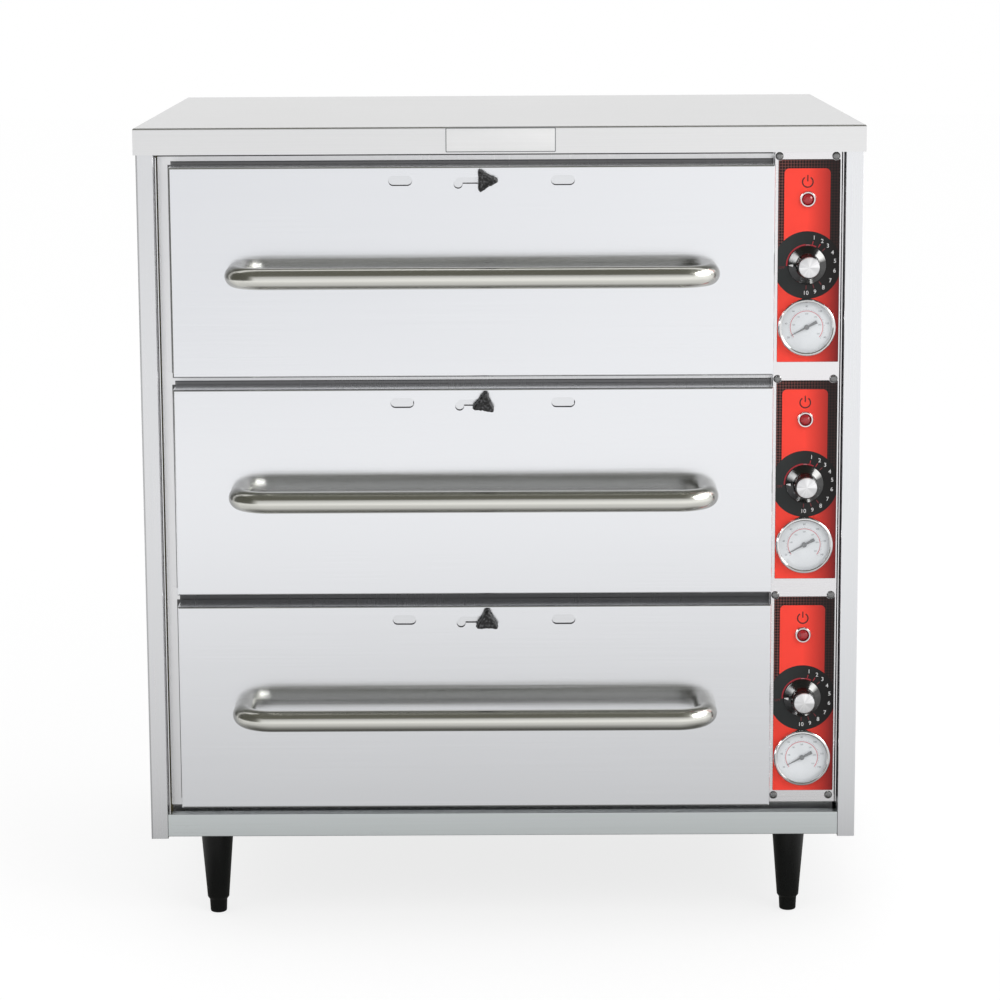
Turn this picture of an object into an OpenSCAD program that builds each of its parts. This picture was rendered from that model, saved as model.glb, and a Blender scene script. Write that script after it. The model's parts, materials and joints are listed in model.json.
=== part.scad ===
// Free-standing warming cabinet with three insulated drawers, in millimetres.
// Origin: middle of the footprint at floor level. +X is to the right of a person who
// stands before the drawers, the fronts face -Y, and +Z is up. Depths called d are
// counted backwards from the face of the top's front flange.

/* [Cabinet] */
// Overall height with the feet screwed in
total_h = 860; // [840:1:900]
// Height of the cabinet's lower edge above the floor
leg_h = 102; // [95:1:115]
// Width of the top
top_w = 756; // [752:1:800]
// Depth of the top
top_d = 575; // [570:1:620]
// Height of the top's down-turned flange
flange_h = 28; // [22:1:34]
// How far the top stands out over each side panel
top_over = 2.5; // [0:0.5:10]
// Thickness of the outer sheet
sheet = 1.2; // [0.8:0.1:1.6]
// Width of the front stiles
stile_w = 18; // [14:1:22]
// Height of the bottom rail
rail_h = 24.5; // [20:0.5:26]
// How far the stiles stand behind the flange's face
setback = 1.5; // [1.3:0.1:3]
// Depth of the inner face frame behind the flange's face
recess = 22; // [18:1:26]
// Space between the rear panel and the top's rear edge
rear_margin = 5.5; // [4:0.5:10]
// Space between the cavities and the rear panel
rear_space = 48.1; // [40:0.1:60]
// Radius of the folded edges of the top
fold_r = 2.5; // [2:0.5:4]

/* [Drawer fronts] */
// Thickness of a drawer front
front_t = 38; // [32:1:44]
// Gap between two drawer fronts
front_gap = 12.5; // [10:0.5:15]
// From the flange's lower edge down to the first drawer front
front_drop = 11.5; // [8:0.5:14]
// Gap between the lowest drawer front and the bottom rail
base_gap = 12.7; // [8:0.1:16]
// Gap between the left stile and the drawer fronts
side_reveal = 17.5; // [15:0.5:20]
// Gap between the drawer fronts and the control plate
column_gap = 1.5; // [1:0.5:4]
// Gap between a closed drawer and the inner frame
seat_gap = 2; // [1:0.5:4]
// Radius of a drawer front's folded edges
front_r = 2; // [1.5:0.5:3]

/* [Handles] */
// Diameter of the handle's tube
tube_d = 22.2; // [18:0.2:26]
// Wall of the handle's tube
tube_wall = 1.5; // [1:0.1:2.5]
// Length over the whole handle
handle_w = 507; // [420:1:540]
// From the drawer's face to the middle of the bar
handle_reach = 56; // [50:1:65]
// Radius of the handle's bends at the tube's middle
bend_r = 33; // [28:1:38]

/* [Vents] */
// Length of a vent slot
vent_w = 24.5; // [20:0.5:25]
// Height of a vent slot
vent_h = 10; // [8:0.5:12]
// Distance between the two vent slots
vent_pitch = 167; // [150:1:180]
// Vent slots' middle to the right of the drawer's middle
vent_shift = 10; // [-20:1:20]
// Vent slots' middle below the front's upper edge
vent_drop = 14.4; // [13:0.1:16]
// How far an open vent's slide runs past the slots
vent_cover = 1.5; // [1:0.1:3]
// Radius of the stud on the vent slide
stud_r = 2.5; // [2:0.1:2.8]
// Clearance between the stud and its slot
stud_gap = 0.6; // [0.4:0.1:0.8]
// Radius of the keyhole at the end of the stud's slot
keyhole_r = 4.6; // [4.2:0.1:5]
// Closed stud's place to the right of the drawer's middle
stud_shift = 14; // [10:0.5:18]
// Distance of a thumb knob's lobes from its axis
lobe_c = 9.8; // [8:0.1:10]
// Radius of a thumb knob's lobes
lobe_r = 4.2; // [3.5:0.1:4.5]
// Depth of a thumb knob
thumb_t = 14; // [12:0.5:18]

/* [Slides and pans] */
// Height of a drawer slide
slide_h = 45; // [42:1:48]
// Space in a cavity behind the drawer slides
slide_end = 57; // [40:1:70]
// Thickness of the slides' sheet
slide_t = 1.5; // [1.2:0.1:1.6]
// Clearance between sliding members
run_gap = 0.3; // [0.2:0.05:0.4]
// Space beside a pan for its carrier and slide
slide_space = 34.5; // [32:0.5:45]
// Width of a pan's rim, front to back
pan_d = 325; // [315:1:330]
// Space between a drawer front's back and its pan
pan_lead = 27.5; // [20:0.5:40]
// Space below a pan, down to the drawer front's lower edge
pan_clear = 27; // [25:0.5:100]
// Width of a pan's rim flange
pan_rim = 14; // [11:0.5:16]
// Thickness of a pan's sheet
pan_t = 1; // [0.8:0.1:1.2]
// Draft of a pan's walls, per side
pan_draft = 12; // [6:1:16]
// Radius of a pan's corners
pan_r = 38; // [25:1:45]
// Pan rim's drop below the drawer front's upper edge
pan_drop = 41; // [38:1:46]
// Height of the pan carrier's sides
carrier_h = 54; // [50:1:60]
// Carrier's length behind the pan
carrier_tail = 28; // [20:1:40]
// Drawer slide's middle below the pan's rim
slide_drop = 29; // [27:0.5:31]

/* [Cavities] */
// Thickness of the cavity liners' sheet
liner_t = 1; // [0.8:0.1:1.2]
// Inner frame's overlap behind a drawer front's sides
frame_lap = 12; // [8:1:16]
// Cavity floor above the drawer front's lower edge
floor_rise = 2.2; // [1:0.1:4]
// Cavity ceiling below the drawer front's upper edge
ceiling_drop = 9.4; // [8:0.1:12]
// Radius of a heating element's tube
element_r = 4; // [3:0.1:4.5]
// Distance between the runs of a heating element
element_pitch = 90; // [70:5:100]
// Space between a cavity's walls and its heating element's bends and first run
element_inset = 60; // [50:1:70]
// Heating element's height above the cavity's floor
element_z = 12; // [8:0.5:14]

/* [Controls] */
// Width of a control overlay
overlay_w = 64; // [60:0.5:64.5]
// Bare plate beside an overlay, both sides together
column_margin = 5; // [4.5:0.5:9]
// Bare plate between two overlays
overlay_gap = 19.5; // [16:0.5:26]
// Thickness of a control overlay
overlay_t = 0.5; // [0.3:0.1:0.8]
// Overlay's upper edge above its drawer front's upper edge
overlay_rise = 3.8; // [2:0.1:5]
// Gap between the control plate and the right stile
plate_gap = 4; // [3:0.5:6]
// Depth of the control plate's face behind the flange's face
plate_d = 4; // [3.2:0.1:6]
// Middle of the dials to the left of the overlay's middle
dial_shift = 1.5; // [0:0.1:3]
// Pilot light's middle below the overlay's upper edge
lamp_drop = 41.2; // [36:0.1:46]
// Thermostat dial's middle above the thermometer's middle
dial_rise = 64.6; // [62:0.1:70]
// Thermometer's middle above the overlay's lower edge
gauge_rise = 36.8; // [34:0.1:40]
// Radius of a pilot light's bezel
lamp_r = 8.5; // [7:0.1:10]
// Radius of a thermometer's bezel
gauge_r = 30; // [26:0.1:31]
// Radius of a knob's skirt
knob_r = 20; // [17:0.1:21]
// How far a knob stands out from its overlay
knob_h = 25; // [20:0.5:28]
// Radius of a knob's metal cap
cap_r = 10.8; // [8:0.1:11]
// Radius of a thermostat's shaft
shaft_r = 3; // [2.5:0.1:3.2]
// Radial clearance of the turning shafts and pins
fit_gap = 0.05; // [0.02:0.01:0.1]
// Radius of the plate screws' heads
screw_r = 4.2; // [3.5:0.1:4.4]
// Angle of the thermometer's pointer, clockwise from the top
needle_deg = 242; // [200:1:270]

/* [Legs] */
// Legs' middle in from the outside of the side panels
leg_side = 64; // [50:0.5:85]
// Legs' middle in from the front and from the rear edge
leg_inset = 70; // [60:1:90]
// Radius of a leg at the top
leg_top_r = 18.6; // [17:0.1:22]
// Radius of a leg at its shoulder
leg_low_r = 11.8; // [11:0.1:13]
// Height of the adjustable foot that shows
foot_h = 14.5; // [12:0.5:18]
// Radius of the foot
foot_r = 9.6; // [8:0.1:10.5]
// Radius of the foot's stem
stem_r = 5; // [4:0.1:6]
// Length of the foot's stem
stem_len = 50; // [45:1:55]

/* [Supply] */
// Cord gland's middle in from the outside of the right side panel
gland_inset = 55.5; // [48:0.5:60]
// Cord gland's middle above the cabinet's lower edge
gland_rise = 48; // [40:1:80]
// Outer radius of the cord gland's barrel
gland_r = 8; // [7:0.5:10]
// Radius of the supply cord's passage
cord_r = 5; // [4:0.5:5.5]
// Length of a louvre in the rear panel
louvre_w = 60; // [40:1:66]
// Height of a louvre
louvre_h = 4; // [3:0.5:6]
// Distance between two louvres
louvre_pitch = 14; // [10:1:20]
// Lowest louvre's drop below the top
louvre_drop = 220; // [200:5:300]
// Length of the terminal block
block_w = 64; // [60:1:70]
// Terminal block's front in from the cavities' rear
block_inset = 80.2; // [60:0.1:120]

/* [Hidden] */

// How far the drawers on display have their vents open, drawer by drawer
vent_set = [0, 2.5, 0.5];
// How far each thumb knob is turned
thumb_deg = [-90, -8, 0];

drawers = 3;
round_fn = 64;
blend_fn = 32;
// General clearance between pieces that lie close to each other
gap = 0.3;
// Length by which a cut runs past its solid
cut = 1;
// Height of the base pan's floor above the cabinet's lower edge
floor_lift = 2.3;
// How far the side panels end below the sheet of the top
panel_drop = 0.5;
// Width of the rear panel's and the base pan's folded edges
hem = 20;

body_w = top_w - 2 * top_over;
body_h = total_h - leg_h;
top_under = total_h - sheet;
body_back = top_d - rear_margin;
rear_face = body_back - sheet;
stile_in = body_w / 2 - stile_w;
flange_low = total_h - flange_h;
pan_floor = leg_h + floor_lift;
rail_top = pan_floor + rail_h;
column_w = overlay_w + column_margin;
front_w = 2 * stile_in - side_reveal - column_gap - column_w - plate_gap;
fronts_h = flange_low - front_drop - rail_top - base_gap;
front_h = (fronts_h - (drawers - 1) * front_gap) / drawers;
front_pitch = front_h + front_gap;
front_left = side_reveal - stile_in;
front_mid = front_left + front_w / 2;
front_right = front_left + front_w;
front_back = recess - seat_gap;
front_face = front_back - front_t;
bar_d = front_face - handle_reach;
handle_out = -bar_d + tube_d / 2;
// Y of the flange's face, which puts the origin in the middle of the footprint
face_y = (handle_out - top_d) / 2;

cav_left = front_left + frame_lap;
cav_right = front_right - frame_lap;
cav_front = recess + sheet;
cav_back = rear_face - rear_space;
cavity_d = cav_back - cav_front;
slide_len = cavity_d - slide_end;
pan_w = cav_right - cav_left - 2 * slide_space;
pan_z = front_h - pan_drop;
pan_h = pan_z - pan_clear;
vent_travel = vent_w + vent_cover;
stud_slot_h = 2 * (stud_r + stud_gap);

plate_left = front_right + column_gap;
plate_right = stile_in - plate_gap;
overlay_shift = 0.9;
overlay_x = (plate_left + plate_right) / 2 + overlay_shift;
overlay_h = front_pitch - overlay_gap;
dial_x = overlay_x - dial_shift;
overlay_face = plate_d - overlay_t;
screw_left = plate_left + screw_r + 0.2;
screw_right = overlay_x + overlay_w / 2 - screw_r - 0.3;

// Lower and upper edge of drawer front n, counted from the top
function front_top(n) = flange_low - front_drop - (n - 1) * front_pitch;
function front_low(n) = front_top(n) - front_h;
function cav_floor(n) = front_low(n) + floor_rise;
function cav_ceiling(n) = front_top(n) - ceiling_drop;
function overlay_top(n) = front_top(n) + overlay_rise;
function lamp_z(n) = overlay_top(n) - lamp_drop;
function gauge_z(n) = overlay_top(n) - overlay_h + gauge_rise;
function dial_z(n) = gauge_z(n) + dial_rise;
function vent_z(n) = front_top(n) - vent_drop;
function slide_z(n) = front_low(n) + pan_z - slide_drop;

// Heights of the plate screws: one row above each overlay and one below the last
screw_rise = 1.7;
screw_fall = 5.2;
screw_zs = [
    flange_low - screw_r - 0.2,
    for (n = [2:drawers]) overlay_top(n) + screw_rise,
    overlay_top(drawers) - overlay_h - screw_fall
];

// Moves from depth d behind the flange's face into the part's frame
module at_depth(d = 0) {
    translate([0, face_y + d, 0])
        children();
}

// Extrudes a profile drawn in (x, z) along Y, from depth d over the length len
module along_y(d, len) {
    at_depth(d + len)
        rotate([90, 0, 0])
            linear_extrude(len)
                children();
}

// Extrudes a profile drawn in (depth, z) along X, from x over the length len
module along_x(x, len) {
    translate([x, face_y, 0])
        rotate([90, 0, 90])
            linear_extrude(len)
                children();
}

// Extrudes a profile drawn in (x, depth) along Z, from z over the length len
module along_z(z, len) {
    translate([0, face_y, z])
        linear_extrude(len)
            children();
}

// Box given by its limits in x, depth and z
module block(x, d, z) {
    translate([x[0], face_y + d[0], z[0]])
        cube([x[1] - x[0], d[1] - d[0], z[1] - z[0]]);
}

// Profile of a bent sheet along a path of its middle line
module bent(path, t) {
    for (i = [0:len(path) - 2])
        let (run = path[i + 1] - path[i])
            translate(path[i])
                rotate(atan2(run[1], run[0]))
                    translate([0, -t / 2])
                        square([norm(run), t]);
    for (i = [1:len(path) - 2])
        translate(path[i])
            circle(d = t, $fn = round_fn);
}

// Rectangle with round corners, centred
module round_rect(w, h, r) {
    square([w, h - 2 * r], center = true);
    square([w - 2 * r, h], center = true);
    for (x = [-1, 1], y = [-1, 1])
        translate([x * (w / 2 - r), y * (h / 2 - r)])
            circle(r, $fn = round_fn);
}

// Slot with round ends, centred, along x
module obround(w, h) {
    square([w - h, h], center = true);
    for (x = [-1, 1])
        translate([x * (w - h) / 2, 0])
            circle(d = h, $fn = round_fn);
}

// Rectangle from (a0, b0) to (a1, b1) whose two corners at b1 are round
module round_top(a0, b0, a1, b1, r) {
    translate([a0, b0])
        square([a1 - a0, b1 - b0 - r]);
    translate([a0 + r, b0])
        square([a1 - a0 - 2 * r, b1 - b0]);
    for (a = [a0 + r, a1 - r])
        translate([a, b1 - r])
            circle(r, $fn = round_fn);
}

// Puts a child that is drawn about the Z axis on an axis along Y: its +Z faces the front
module facing_front(x, d, z) {
    translate([x, face_y + d, z])
        rotate([90, 0, 0])
            children();
}

// ---- Outer cabinet ----

// Box with the top's folded edges, smaller by t on every side but the lower one
module top_box(t, low) {
    r = fold_r - t;
    intersection() {
        along_x(-top_w / 2 + t, top_w - 2 * t)
            round_top(t, low, top_d - t, total_h - t, r);
        along_y(t, top_d - 2 * t)
            round_top(-top_w / 2 + t, low, top_w / 2 - t, total_h - t, r);
    }
}

module top_panel() {
    color("gainsboro")
        difference() {
            top_box(0, flange_low);
            top_box(sheet, flange_low - cut);
        }
}

// Side skin with its front stile, the stile's return and the rear flange
module side_panel() {
    x = body_w / 2 - sheet / 2;
    front = setback + sheet / 2;
    along_z(leg_h, body_h - sheet - panel_drop)
        bent([
            [stile_in + sheet / 2, recess],
            [stile_in + sheet / 2, front],
            [x, front],
            [x, rear_face - sheet / 2],
            [x - hem, rear_face - sheet / 2]
        ], sheet);
}

module left_side_panel() {
    color("silver")
        mirror([1, 0, 0])
            side_panel();
}

module right_side_panel() {
    color("silver")
        side_panel();
}

louvre_z = total_h - louvre_drop;
gland_x = body_w / 2 - gland_inset;
gland_z = leg_h + gland_rise;
rear_reveal = 2;
rear_lift = 4;

module rear_panel() {
    half = body_w / 2 - rear_reveal;
    color("silver")
        difference() {
            block([-half, half], [rear_face + gap / 2, body_back], [leg_h + rear_lift, top_under - gap]);
            facing_front(gland_x, body_back + cut, gland_z)
                cylinder(h = sheet + 2 * cut, r = gland_r + gap, $fn = round_fn);
            for (i = [0:7])
                translate([0, 0, louvre_z + i * louvre_pitch])
                    along_y(rear_face - cut, sheet + 3 * cut)
                        translate([gland_x, 0])
                            obround(louvre_w, louvre_h);
        }
}

// Leg places: x and depth of each of the four
leg_x = body_w / 2 - leg_side;
leg_at = [for (d = [leg_inset, top_d - leg_inset], x = [-leg_x, leg_x]) [x, d]];
leg_bolt_r = 4.8;
leg_bolt_h = 16;

module base_pan() {
    half = body_w / 2 - sheet - gap;
    front = setback + 0.6 + sheet / 2;
    z = pan_floor + sheet / 2;
    back = rear_face - sheet - 1;
    color("silver")
        difference() {
            union() {
                along_x(-stile_in + gap, 2 * (stile_in - gap))
                    bent([
                        [front + 12, rail_top - sheet / 2],
                        [front, rail_top - sheet / 2],
                        [front, z],
                        [recess + 8, z]
                    ], sheet);
                along_x(-half, 2 * half)
                    bent([[recess + 2, z], [back, z], [back, z + hem]], sheet);
            }
            for (p = leg_at)
                translate([p[0], face_y + p[1], pan_floor - cut])
                    cylinder(h = sheet + 2 * cut, r = leg_bolt_r + 0.4, $fn = round_fn);
        }
}

// ---- Inner frame and cavities ----

strip_drop = 7.2;
strip_low = front_low(drawers) - strip_drop;
foot_d = recess + 12;
post_r = 4.5;

module inner_frame() {
    side = stile_in - 2.5;
    color("lightgray") {
        difference() {
            union() {
                block([-side, side], [recess, cav_front], [strip_low, top_under - gap]);
                along_x(-side, 2 * side)
                    bent([
                        [recess + sheet / 2, strip_low + 6],
                        [recess + sheet / 2, strip_low + sheet / 2],
                        [foot_d, strip_low + sheet / 2],
                        [foot_d, pan_floor + sheet + gap]
                    ], sheet);
                for (n = [2:drawers])
                    block([-side + 6, front_right - 2], [recess - 0.6, recess + 0.3],
                        [front_low(n - 1) - 22.5, front_low(n - 1) + 1.5]);
            }
            for (n = [1:drawers])
                block([cav_left, cav_right], [recess - cut, cav_front + cut],
                    [cav_floor(n), cav_ceiling(n)]);
            block([screw_left + post_r + 2, screw_right - post_r - 1],
                [recess - cut, cav_front + cut],
                [screw_zs[drawers] + 8, screw_zs[0] - 8]);
        }
        for (x = [screw_left, screw_right], z = screw_zs)
            facing_front(x, cav_front, z)
                difference() {
                    cylinder(h = cav_front - plate_d - sheet, r = post_r, $fn = round_fn);
                    translate([0, 0, cav_front - plate_d - sheet - 8])
                        cylinder(h = 8 + cut, r = screw_shank_r, $fn = round_fn);
                }
    }
}

// Depths of a heating element's runs
element_runs = [for (i = [0:3]) cav_front + element_inset + i * element_pitch];
element_left = cav_left + element_inset;
element_right = cav_right - element_inset;
tail_len = 34;
support_inset = 90;
support_xs = [element_left + support_inset, element_right - support_inset];
support_t = 1.5;
support_end = 12;

module cavity_liners() {
    color("darkgray")
        for (n = [1:drawers])
            difference() {
                union() {
                    difference() {
                        block([cav_left - liner_t, cav_right + liner_t],
                            [cav_front + 0.1, cav_back + liner_t],
                            [cav_floor(n) - liner_t, cav_ceiling(n) + liner_t]);
                        block([cav_left, cav_right], [cav_front - cut, cav_back],
                            [cav_floor(n), cav_ceiling(n)]);
                    }
                    for (x = support_xs)
                        block([x - support_t / 2, x + support_t / 2],
                            [element_runs[0] - support_end, element_runs[3] + support_end],
                            [cav_floor(n) - liner_t / 2, cav_floor(n) + element_z + 2.5]);
                }
                for (d = element_runs)
                    translate([element_left - 10, face_y + d, cav_floor(n) + element_z])
                        rotate([0, 90, 0])
                            cylinder(h = element_right - element_left + 20, r = element_r + 0.1,
                                $fn = round_fn);
                for (d = [element_runs[0], element_runs[3]])
                    translate([cav_right - cut, face_y + d, cav_floor(n) + element_z])
                        rotate([0, 90, 0])
                            cylinder(h = liner_t + 2 * cut, r = element_r + gap, $fn = round_fn);
            }
}

// Tube from a to b along X
module tube_x(a, b, d, z, r) {
    translate([a, face_y + d, z])
        rotate([0, 90, 0])
            cylinder(h = b - a, r = r, $fn = round_fn);
}

// Half turn in the XY plane that joins two runs; side is 1 on the right end
module turn_back(x, d, z, side) {
    translate([x, face_y + d + element_pitch / 2, z])
        rotate([0, 0, side > 0 ? -90 : 90])
            rotate_extrude(angle = 180, $fn = round_fn)
                translate([element_pitch / 2, 0])
                    circle(element_r, $fn = blend_fn);
}

module heating_elements() {
    color("dimgray")
        for (n = [1:drawers])
            let (z = cav_floor(n) + element_z) {
                tube_x(element_left, cav_right + tail_len, element_runs[0], z, element_r);
                turn_back(element_left, element_runs[0], z, -1);
                tube_x(element_left, element_right, element_runs[1], z, element_r);
                turn_back(element_right, element_runs[1], z, 1);
                tube_x(element_left, element_right, element_runs[2], z, element_r);
                turn_back(element_left, element_runs[2], z, -1);
                tube_x(element_left, cav_right + tail_len, element_runs[3], z, element_r);
            }
}

// Insulation between the liners and the outer sheets
module insulation() {
    back = cav_back + liner_t + gap;
    left = cav_left - liner_t;
    right = cav_right + liner_t;
    low = pan_floor + sheet + gap;
    d0 = cav_front + gap;
    color("palegoldenrod") {
        block([left, right], [d0, back - 2 * gap], [cav_ceiling(1) + liner_t + gap, top_under - gap]);
        block([-body_w / 2 + sheet + gap, left - gap], [d0 + foot_d - recess, back - 2 * gap],
            [low, top_under - gap]);
        block([-body_w / 2 + sheet + 22, right], [back, rear_face - sheet - 2 * gap - 1.2],
            [low + 20, top_under - gap]);
        difference() {
            block([left, right], [foot_d + sheet, back - 2 * gap],
                [low, cav_floor(drawers) - liner_t - gap]);
            for (p = leg_at)
                translate([p[0], face_y + p[1], low - cut])
                    cylinder(h = leg_bolt_h + cut, r = leg_bolt_r + gap, $fn = round_fn);
        }
        for (n = [2:drawers])
            block([left, right], [d0, back - 2 * gap],
                [cav_ceiling(n) + liner_t + gap, cav_floor(n - 1) - liner_t - gap]);
        difference() {
            block([right + gap, right + 12], [foot_d + sheet, back - 2 * gap], [low, top_under - gap]);
            for (n = [1:drawers], d = [element_runs[0], element_runs[3]])
                tube_x(right, right + 12 + cut, d, cav_floor(n) + element_z, element_r + 2);
        }
    }
}

// ---- Drawer slides ----

// Puts a slide profile, drawn as (distance from the wall, height), on both cavity walls
module slide_pair(n, d, len) {
    translate([cav_left, 0, slide_z(n)])
        along_y(d, len)
            children();
    translate([cav_right, 0, slide_z(n)])
        mirror([1, 0, 0])
            along_y(d, len)
                children();
}

slide_d = cav_front + 1;
mid_h = slide_h - 2 * (slide_t + 3);
inner_h = mid_h - 2 * (slide_t + 3);
inner_web = 19;
bead_r = 1.65;

// Channel profile: web at distance a, flanges out to distance b, height h
module channel(a, b, h) {
    translate([min(a, b), h / 2 - slide_t])
        square([abs(b - a), slide_t]);
    translate([min(a, b), -h / 2])
        square([abs(b - a), slide_t]);
    translate([a < b ? a : a - slide_t, -h / 2])
        square([slide_t, h]);
}

module fixed_slides() {
    color("darkgray")
        for (n = [1:drawers])
            slide_pair(n, slide_d, slide_len)
                channel(0, 13, slide_h);
}

// Middle member with the ball rows on the outside and the inside of its flanges
module mid_slides(n) {
    color("gray")
        slide_pair(n, slide_d, slide_len) {
            channel(3, 15.5, mid_h);
            for (side = [-1, 1]) {
                translate([9, side * (mid_h / 2 + 3 - run_gap - bead_r)])
                    circle(bead_r, $fn = blend_fn);
                translate([9, side * (inner_h / 2 + run_gap + bead_r)])
                    circle(bead_r, $fn = blend_fn);
            }
        }
}

// ---- Drawers ----

// Box of a drawer front with folded front edges, smaller by t on all sides
module front_box(n, t, back) {
    r = front_r - t;
    x0 = front_left + t;
    x1 = front_right - t;
    z0 = front_low(n) + t;
    z1 = front_top(n) - t;
    intersection() {
        along_x(x0, x1 - x0)
            translate([back, z0])
                rotate(90)
                    round_top(0, 0, z1 - z0, back - front_face - t, r);
        translate([0, face_y, z0])
            linear_extrude(z1 - z0)
                mirror([0, 1])
                    round_top(x0, -back, x1, -front_face - t, r);
    }
}

// Both vent slots as a profile, moved by shift
module vent_slots(n, shift) {
    for (side = [-1, 1])
        translate([front_mid + vent_shift + side * vent_pitch / 2 + shift, vent_z(n)])
            obround(vent_w, vent_h);
}

stud_x = front_mid + stud_shift;

// Slot for the vent stud, with the keyhole at its left end
module stud_slot(n) {
    translate([stud_x - vent_travel / 2 - 0.4, vent_z(n)])
        obround(vent_travel + stud_slot_h + 0.8, stud_slot_h);
    translate([stud_x - vent_travel - 2, vent_z(n) - 3.5])
        circle(keyhole_r, $fn = round_fn);
}

vent_plate_h = 20;
vent_plate_t = 1;
vent_plate_over = 5;
guide_over = 34;
guide_t = 1;
guide_play = gap + guide_t / 2;
guide_lip = 3;
vent_plate_d = front_face + sheet + gap;
lip = 11;

// Outer pan of an insulated drawer front, with the guides of its vent slide
module drawer_front(n) {
    guide_x = front_mid + vent_shift;
    guide_half = vent_pitch / 2 + vent_w + guide_over;
    color("whitesmoke") {
        difference() {
            front_box(n, 0, front_back);
            front_box(n, sheet, front_back - liner_t - gap - sheet);
            block([front_left + lip, front_right - lip], [0, front_back + cut],
                [front_low(n) + lip, front_top(n) - lip]);
            block([front_left + sheet, front_right - sheet],
                [front_back - liner_t - gap, front_back + cut],
                [front_low(n) + sheet, front_top(n) - sheet]);
            along_y(front_face - cut, sheet + 2 * cut) {
                vent_slots(n, 0);
                stud_slot(n);
            }
        }
        for (side = [-1, 1])
            along_x(guide_x - guide_half, 2 * guide_half)
                translate([0, vent_z(n)])
                    scale([1, side])
                        bent([
                            [front_face + sheet / 2, vent_plate_h / 2 + guide_play],
                            [vent_plate_d + vent_plate_t + guide_play, vent_plate_h / 2 + guide_play],
                            [vent_plate_d + vent_plate_t + guide_play, vent_plate_h / 2 - guide_lip]
                        ], guide_t);
    }
}

// Inner panel that closes the drawer front's back, with its own vent slots
module drawer_liner(n) {
    in = sheet + gap;
    color("silver")
        difference() {
            block([front_left + in, front_right - in], [front_back - liner_t, front_back],
                [front_low(n) + in, front_top(n) - in]);
            along_y(front_back - liner_t - cut, liner_t + 2 * cut)
                vent_slots(n, 0);
        }
}

bar_half = handle_w / 2 - tube_d / 2;

// Handle's solid of revolution about its own path, for the tube's radius r
module bow(r, grow) {
    z = 0;
    for (side = [-1, 1]) {
        facing_front(side * bar_half, front_face + grow, z)
            cylinder(h = handle_reach - bend_r + grow, r = r, $fn = round_fn);
        translate([side * (bar_half - bend_r), face_y + bar_d + bend_r, z])
            rotate([0, 0, side > 0 ? -90 : 180])
                rotate_extrude(angle = 90, $fn = round_fn)
                    translate([bend_r, 0])
                        circle(r, $fn = round_fn);
    }
    tube_x(-bar_half + bend_r, bar_half - bend_r, bar_d, z, r);
}

module handle(n) {
    color("lightslategray")
        translate([front_mid, 0, (front_low(n) + front_top(n)) / 2])
            difference() {
                bow(tube_d / 2, 0);
                bow(tube_d / 2 - tube_wall, cut);
            }
}

frame_t = slide_t;
frame_out = inner_web + frame_t;
pan_mid_d = front_back + pan_lead + pan_d / 2;
pan_play = 5;
pan_hole_w = pan_w - 2 * (pan_rim - pan_play);
pan_hole_d = pan_d - 2 * (pan_rim - pan_play);
frame_end = 10;
frame_back = slide_d + slide_len - frame_end;
tail_h = 24;

// Carrier that the pan hangs in, with the inner slide members on its sides
module drawer_frame(n) {
    x0 = cav_left + inner_web;
    x1 = cav_right - inner_web;
    z1 = front_low(n) + pan_z;
    z0 = z1 - carrier_h;
    back = pan_mid_d + pan_d / 2 + carrier_tail;
    color("darkgray")
        union() {
            for (side = [-1, 1])
                let (x = side < 0 ? x0 : x1 - frame_t)
                    block([x, x + frame_t], [front_back, frame_back], [z0, z1]);
            difference() {
                block([x0, x1], [front_back, back], [z1 - frame_t, z1]);
                along_z(z1 - frame_t - cut, frame_t + 2 * cut)
                    translate([front_mid, pan_mid_d])
                        round_rect(pan_hole_w, pan_hole_d, pan_r);
            }
            block([x0, x1], [front_back, front_back + frame_t], [z0, z1]);
            block([x0, x1], [back - frame_t, back], [z1 - tail_h, z1]);
            slide_pair(n, front_back, frame_back - front_back)
                channel(frame_out, 6, inner_h);
        }
}

// Tapered tub of a pan: rounded rectangles at the rim and at the floor
module pan_tub(in, low, high) {
    hull() {
        translate([0, 0, high])
            linear_extrude(0.01)
                round_rect_blend(pan_w - 2 * pan_rim - 2 * in, pan_d - 2 * pan_rim - 2 * in, pan_r - in);
        translate([0, 0, low])
            linear_extrude(0.01)
                round_rect_blend(pan_w - 2 * pan_rim - 2 * (in + pan_draft),
                    pan_d - 2 * pan_rim - 2 * (in + pan_draft), pan_r - in - 8);
    }
}

// Rounded rectangle with fewer faces, for the tapered tub
module round_rect_blend(w, h, r) {
    for (x = [-1, 1], y = [-1, 1])
        translate([x * (w / 2 - r), y * (h / 2 - r)])
            circle(r, $fn = blend_fn);
    square([w - 2 * r, h - 2 * r], center = true);
}

module food_pan(n) {
    z1 = front_low(n) + pan_z + pan_t;
    color("silver")
        translate([front_mid, face_y + pan_mid_d, z1])
            difference() {
                union() {
                    translate([0, 0, -pan_t])
                        linear_extrude(pan_t)
                            round_rect(pan_w, pan_d, pan_r / 2);
                    pan_tub(0, -pan_h, -0.01);
                }
                pan_tub(pan_t, pan_t - pan_h, cut);
            }
}

// ---- Vent slides and their thumb knobs ----

stud_short = 2;

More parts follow.
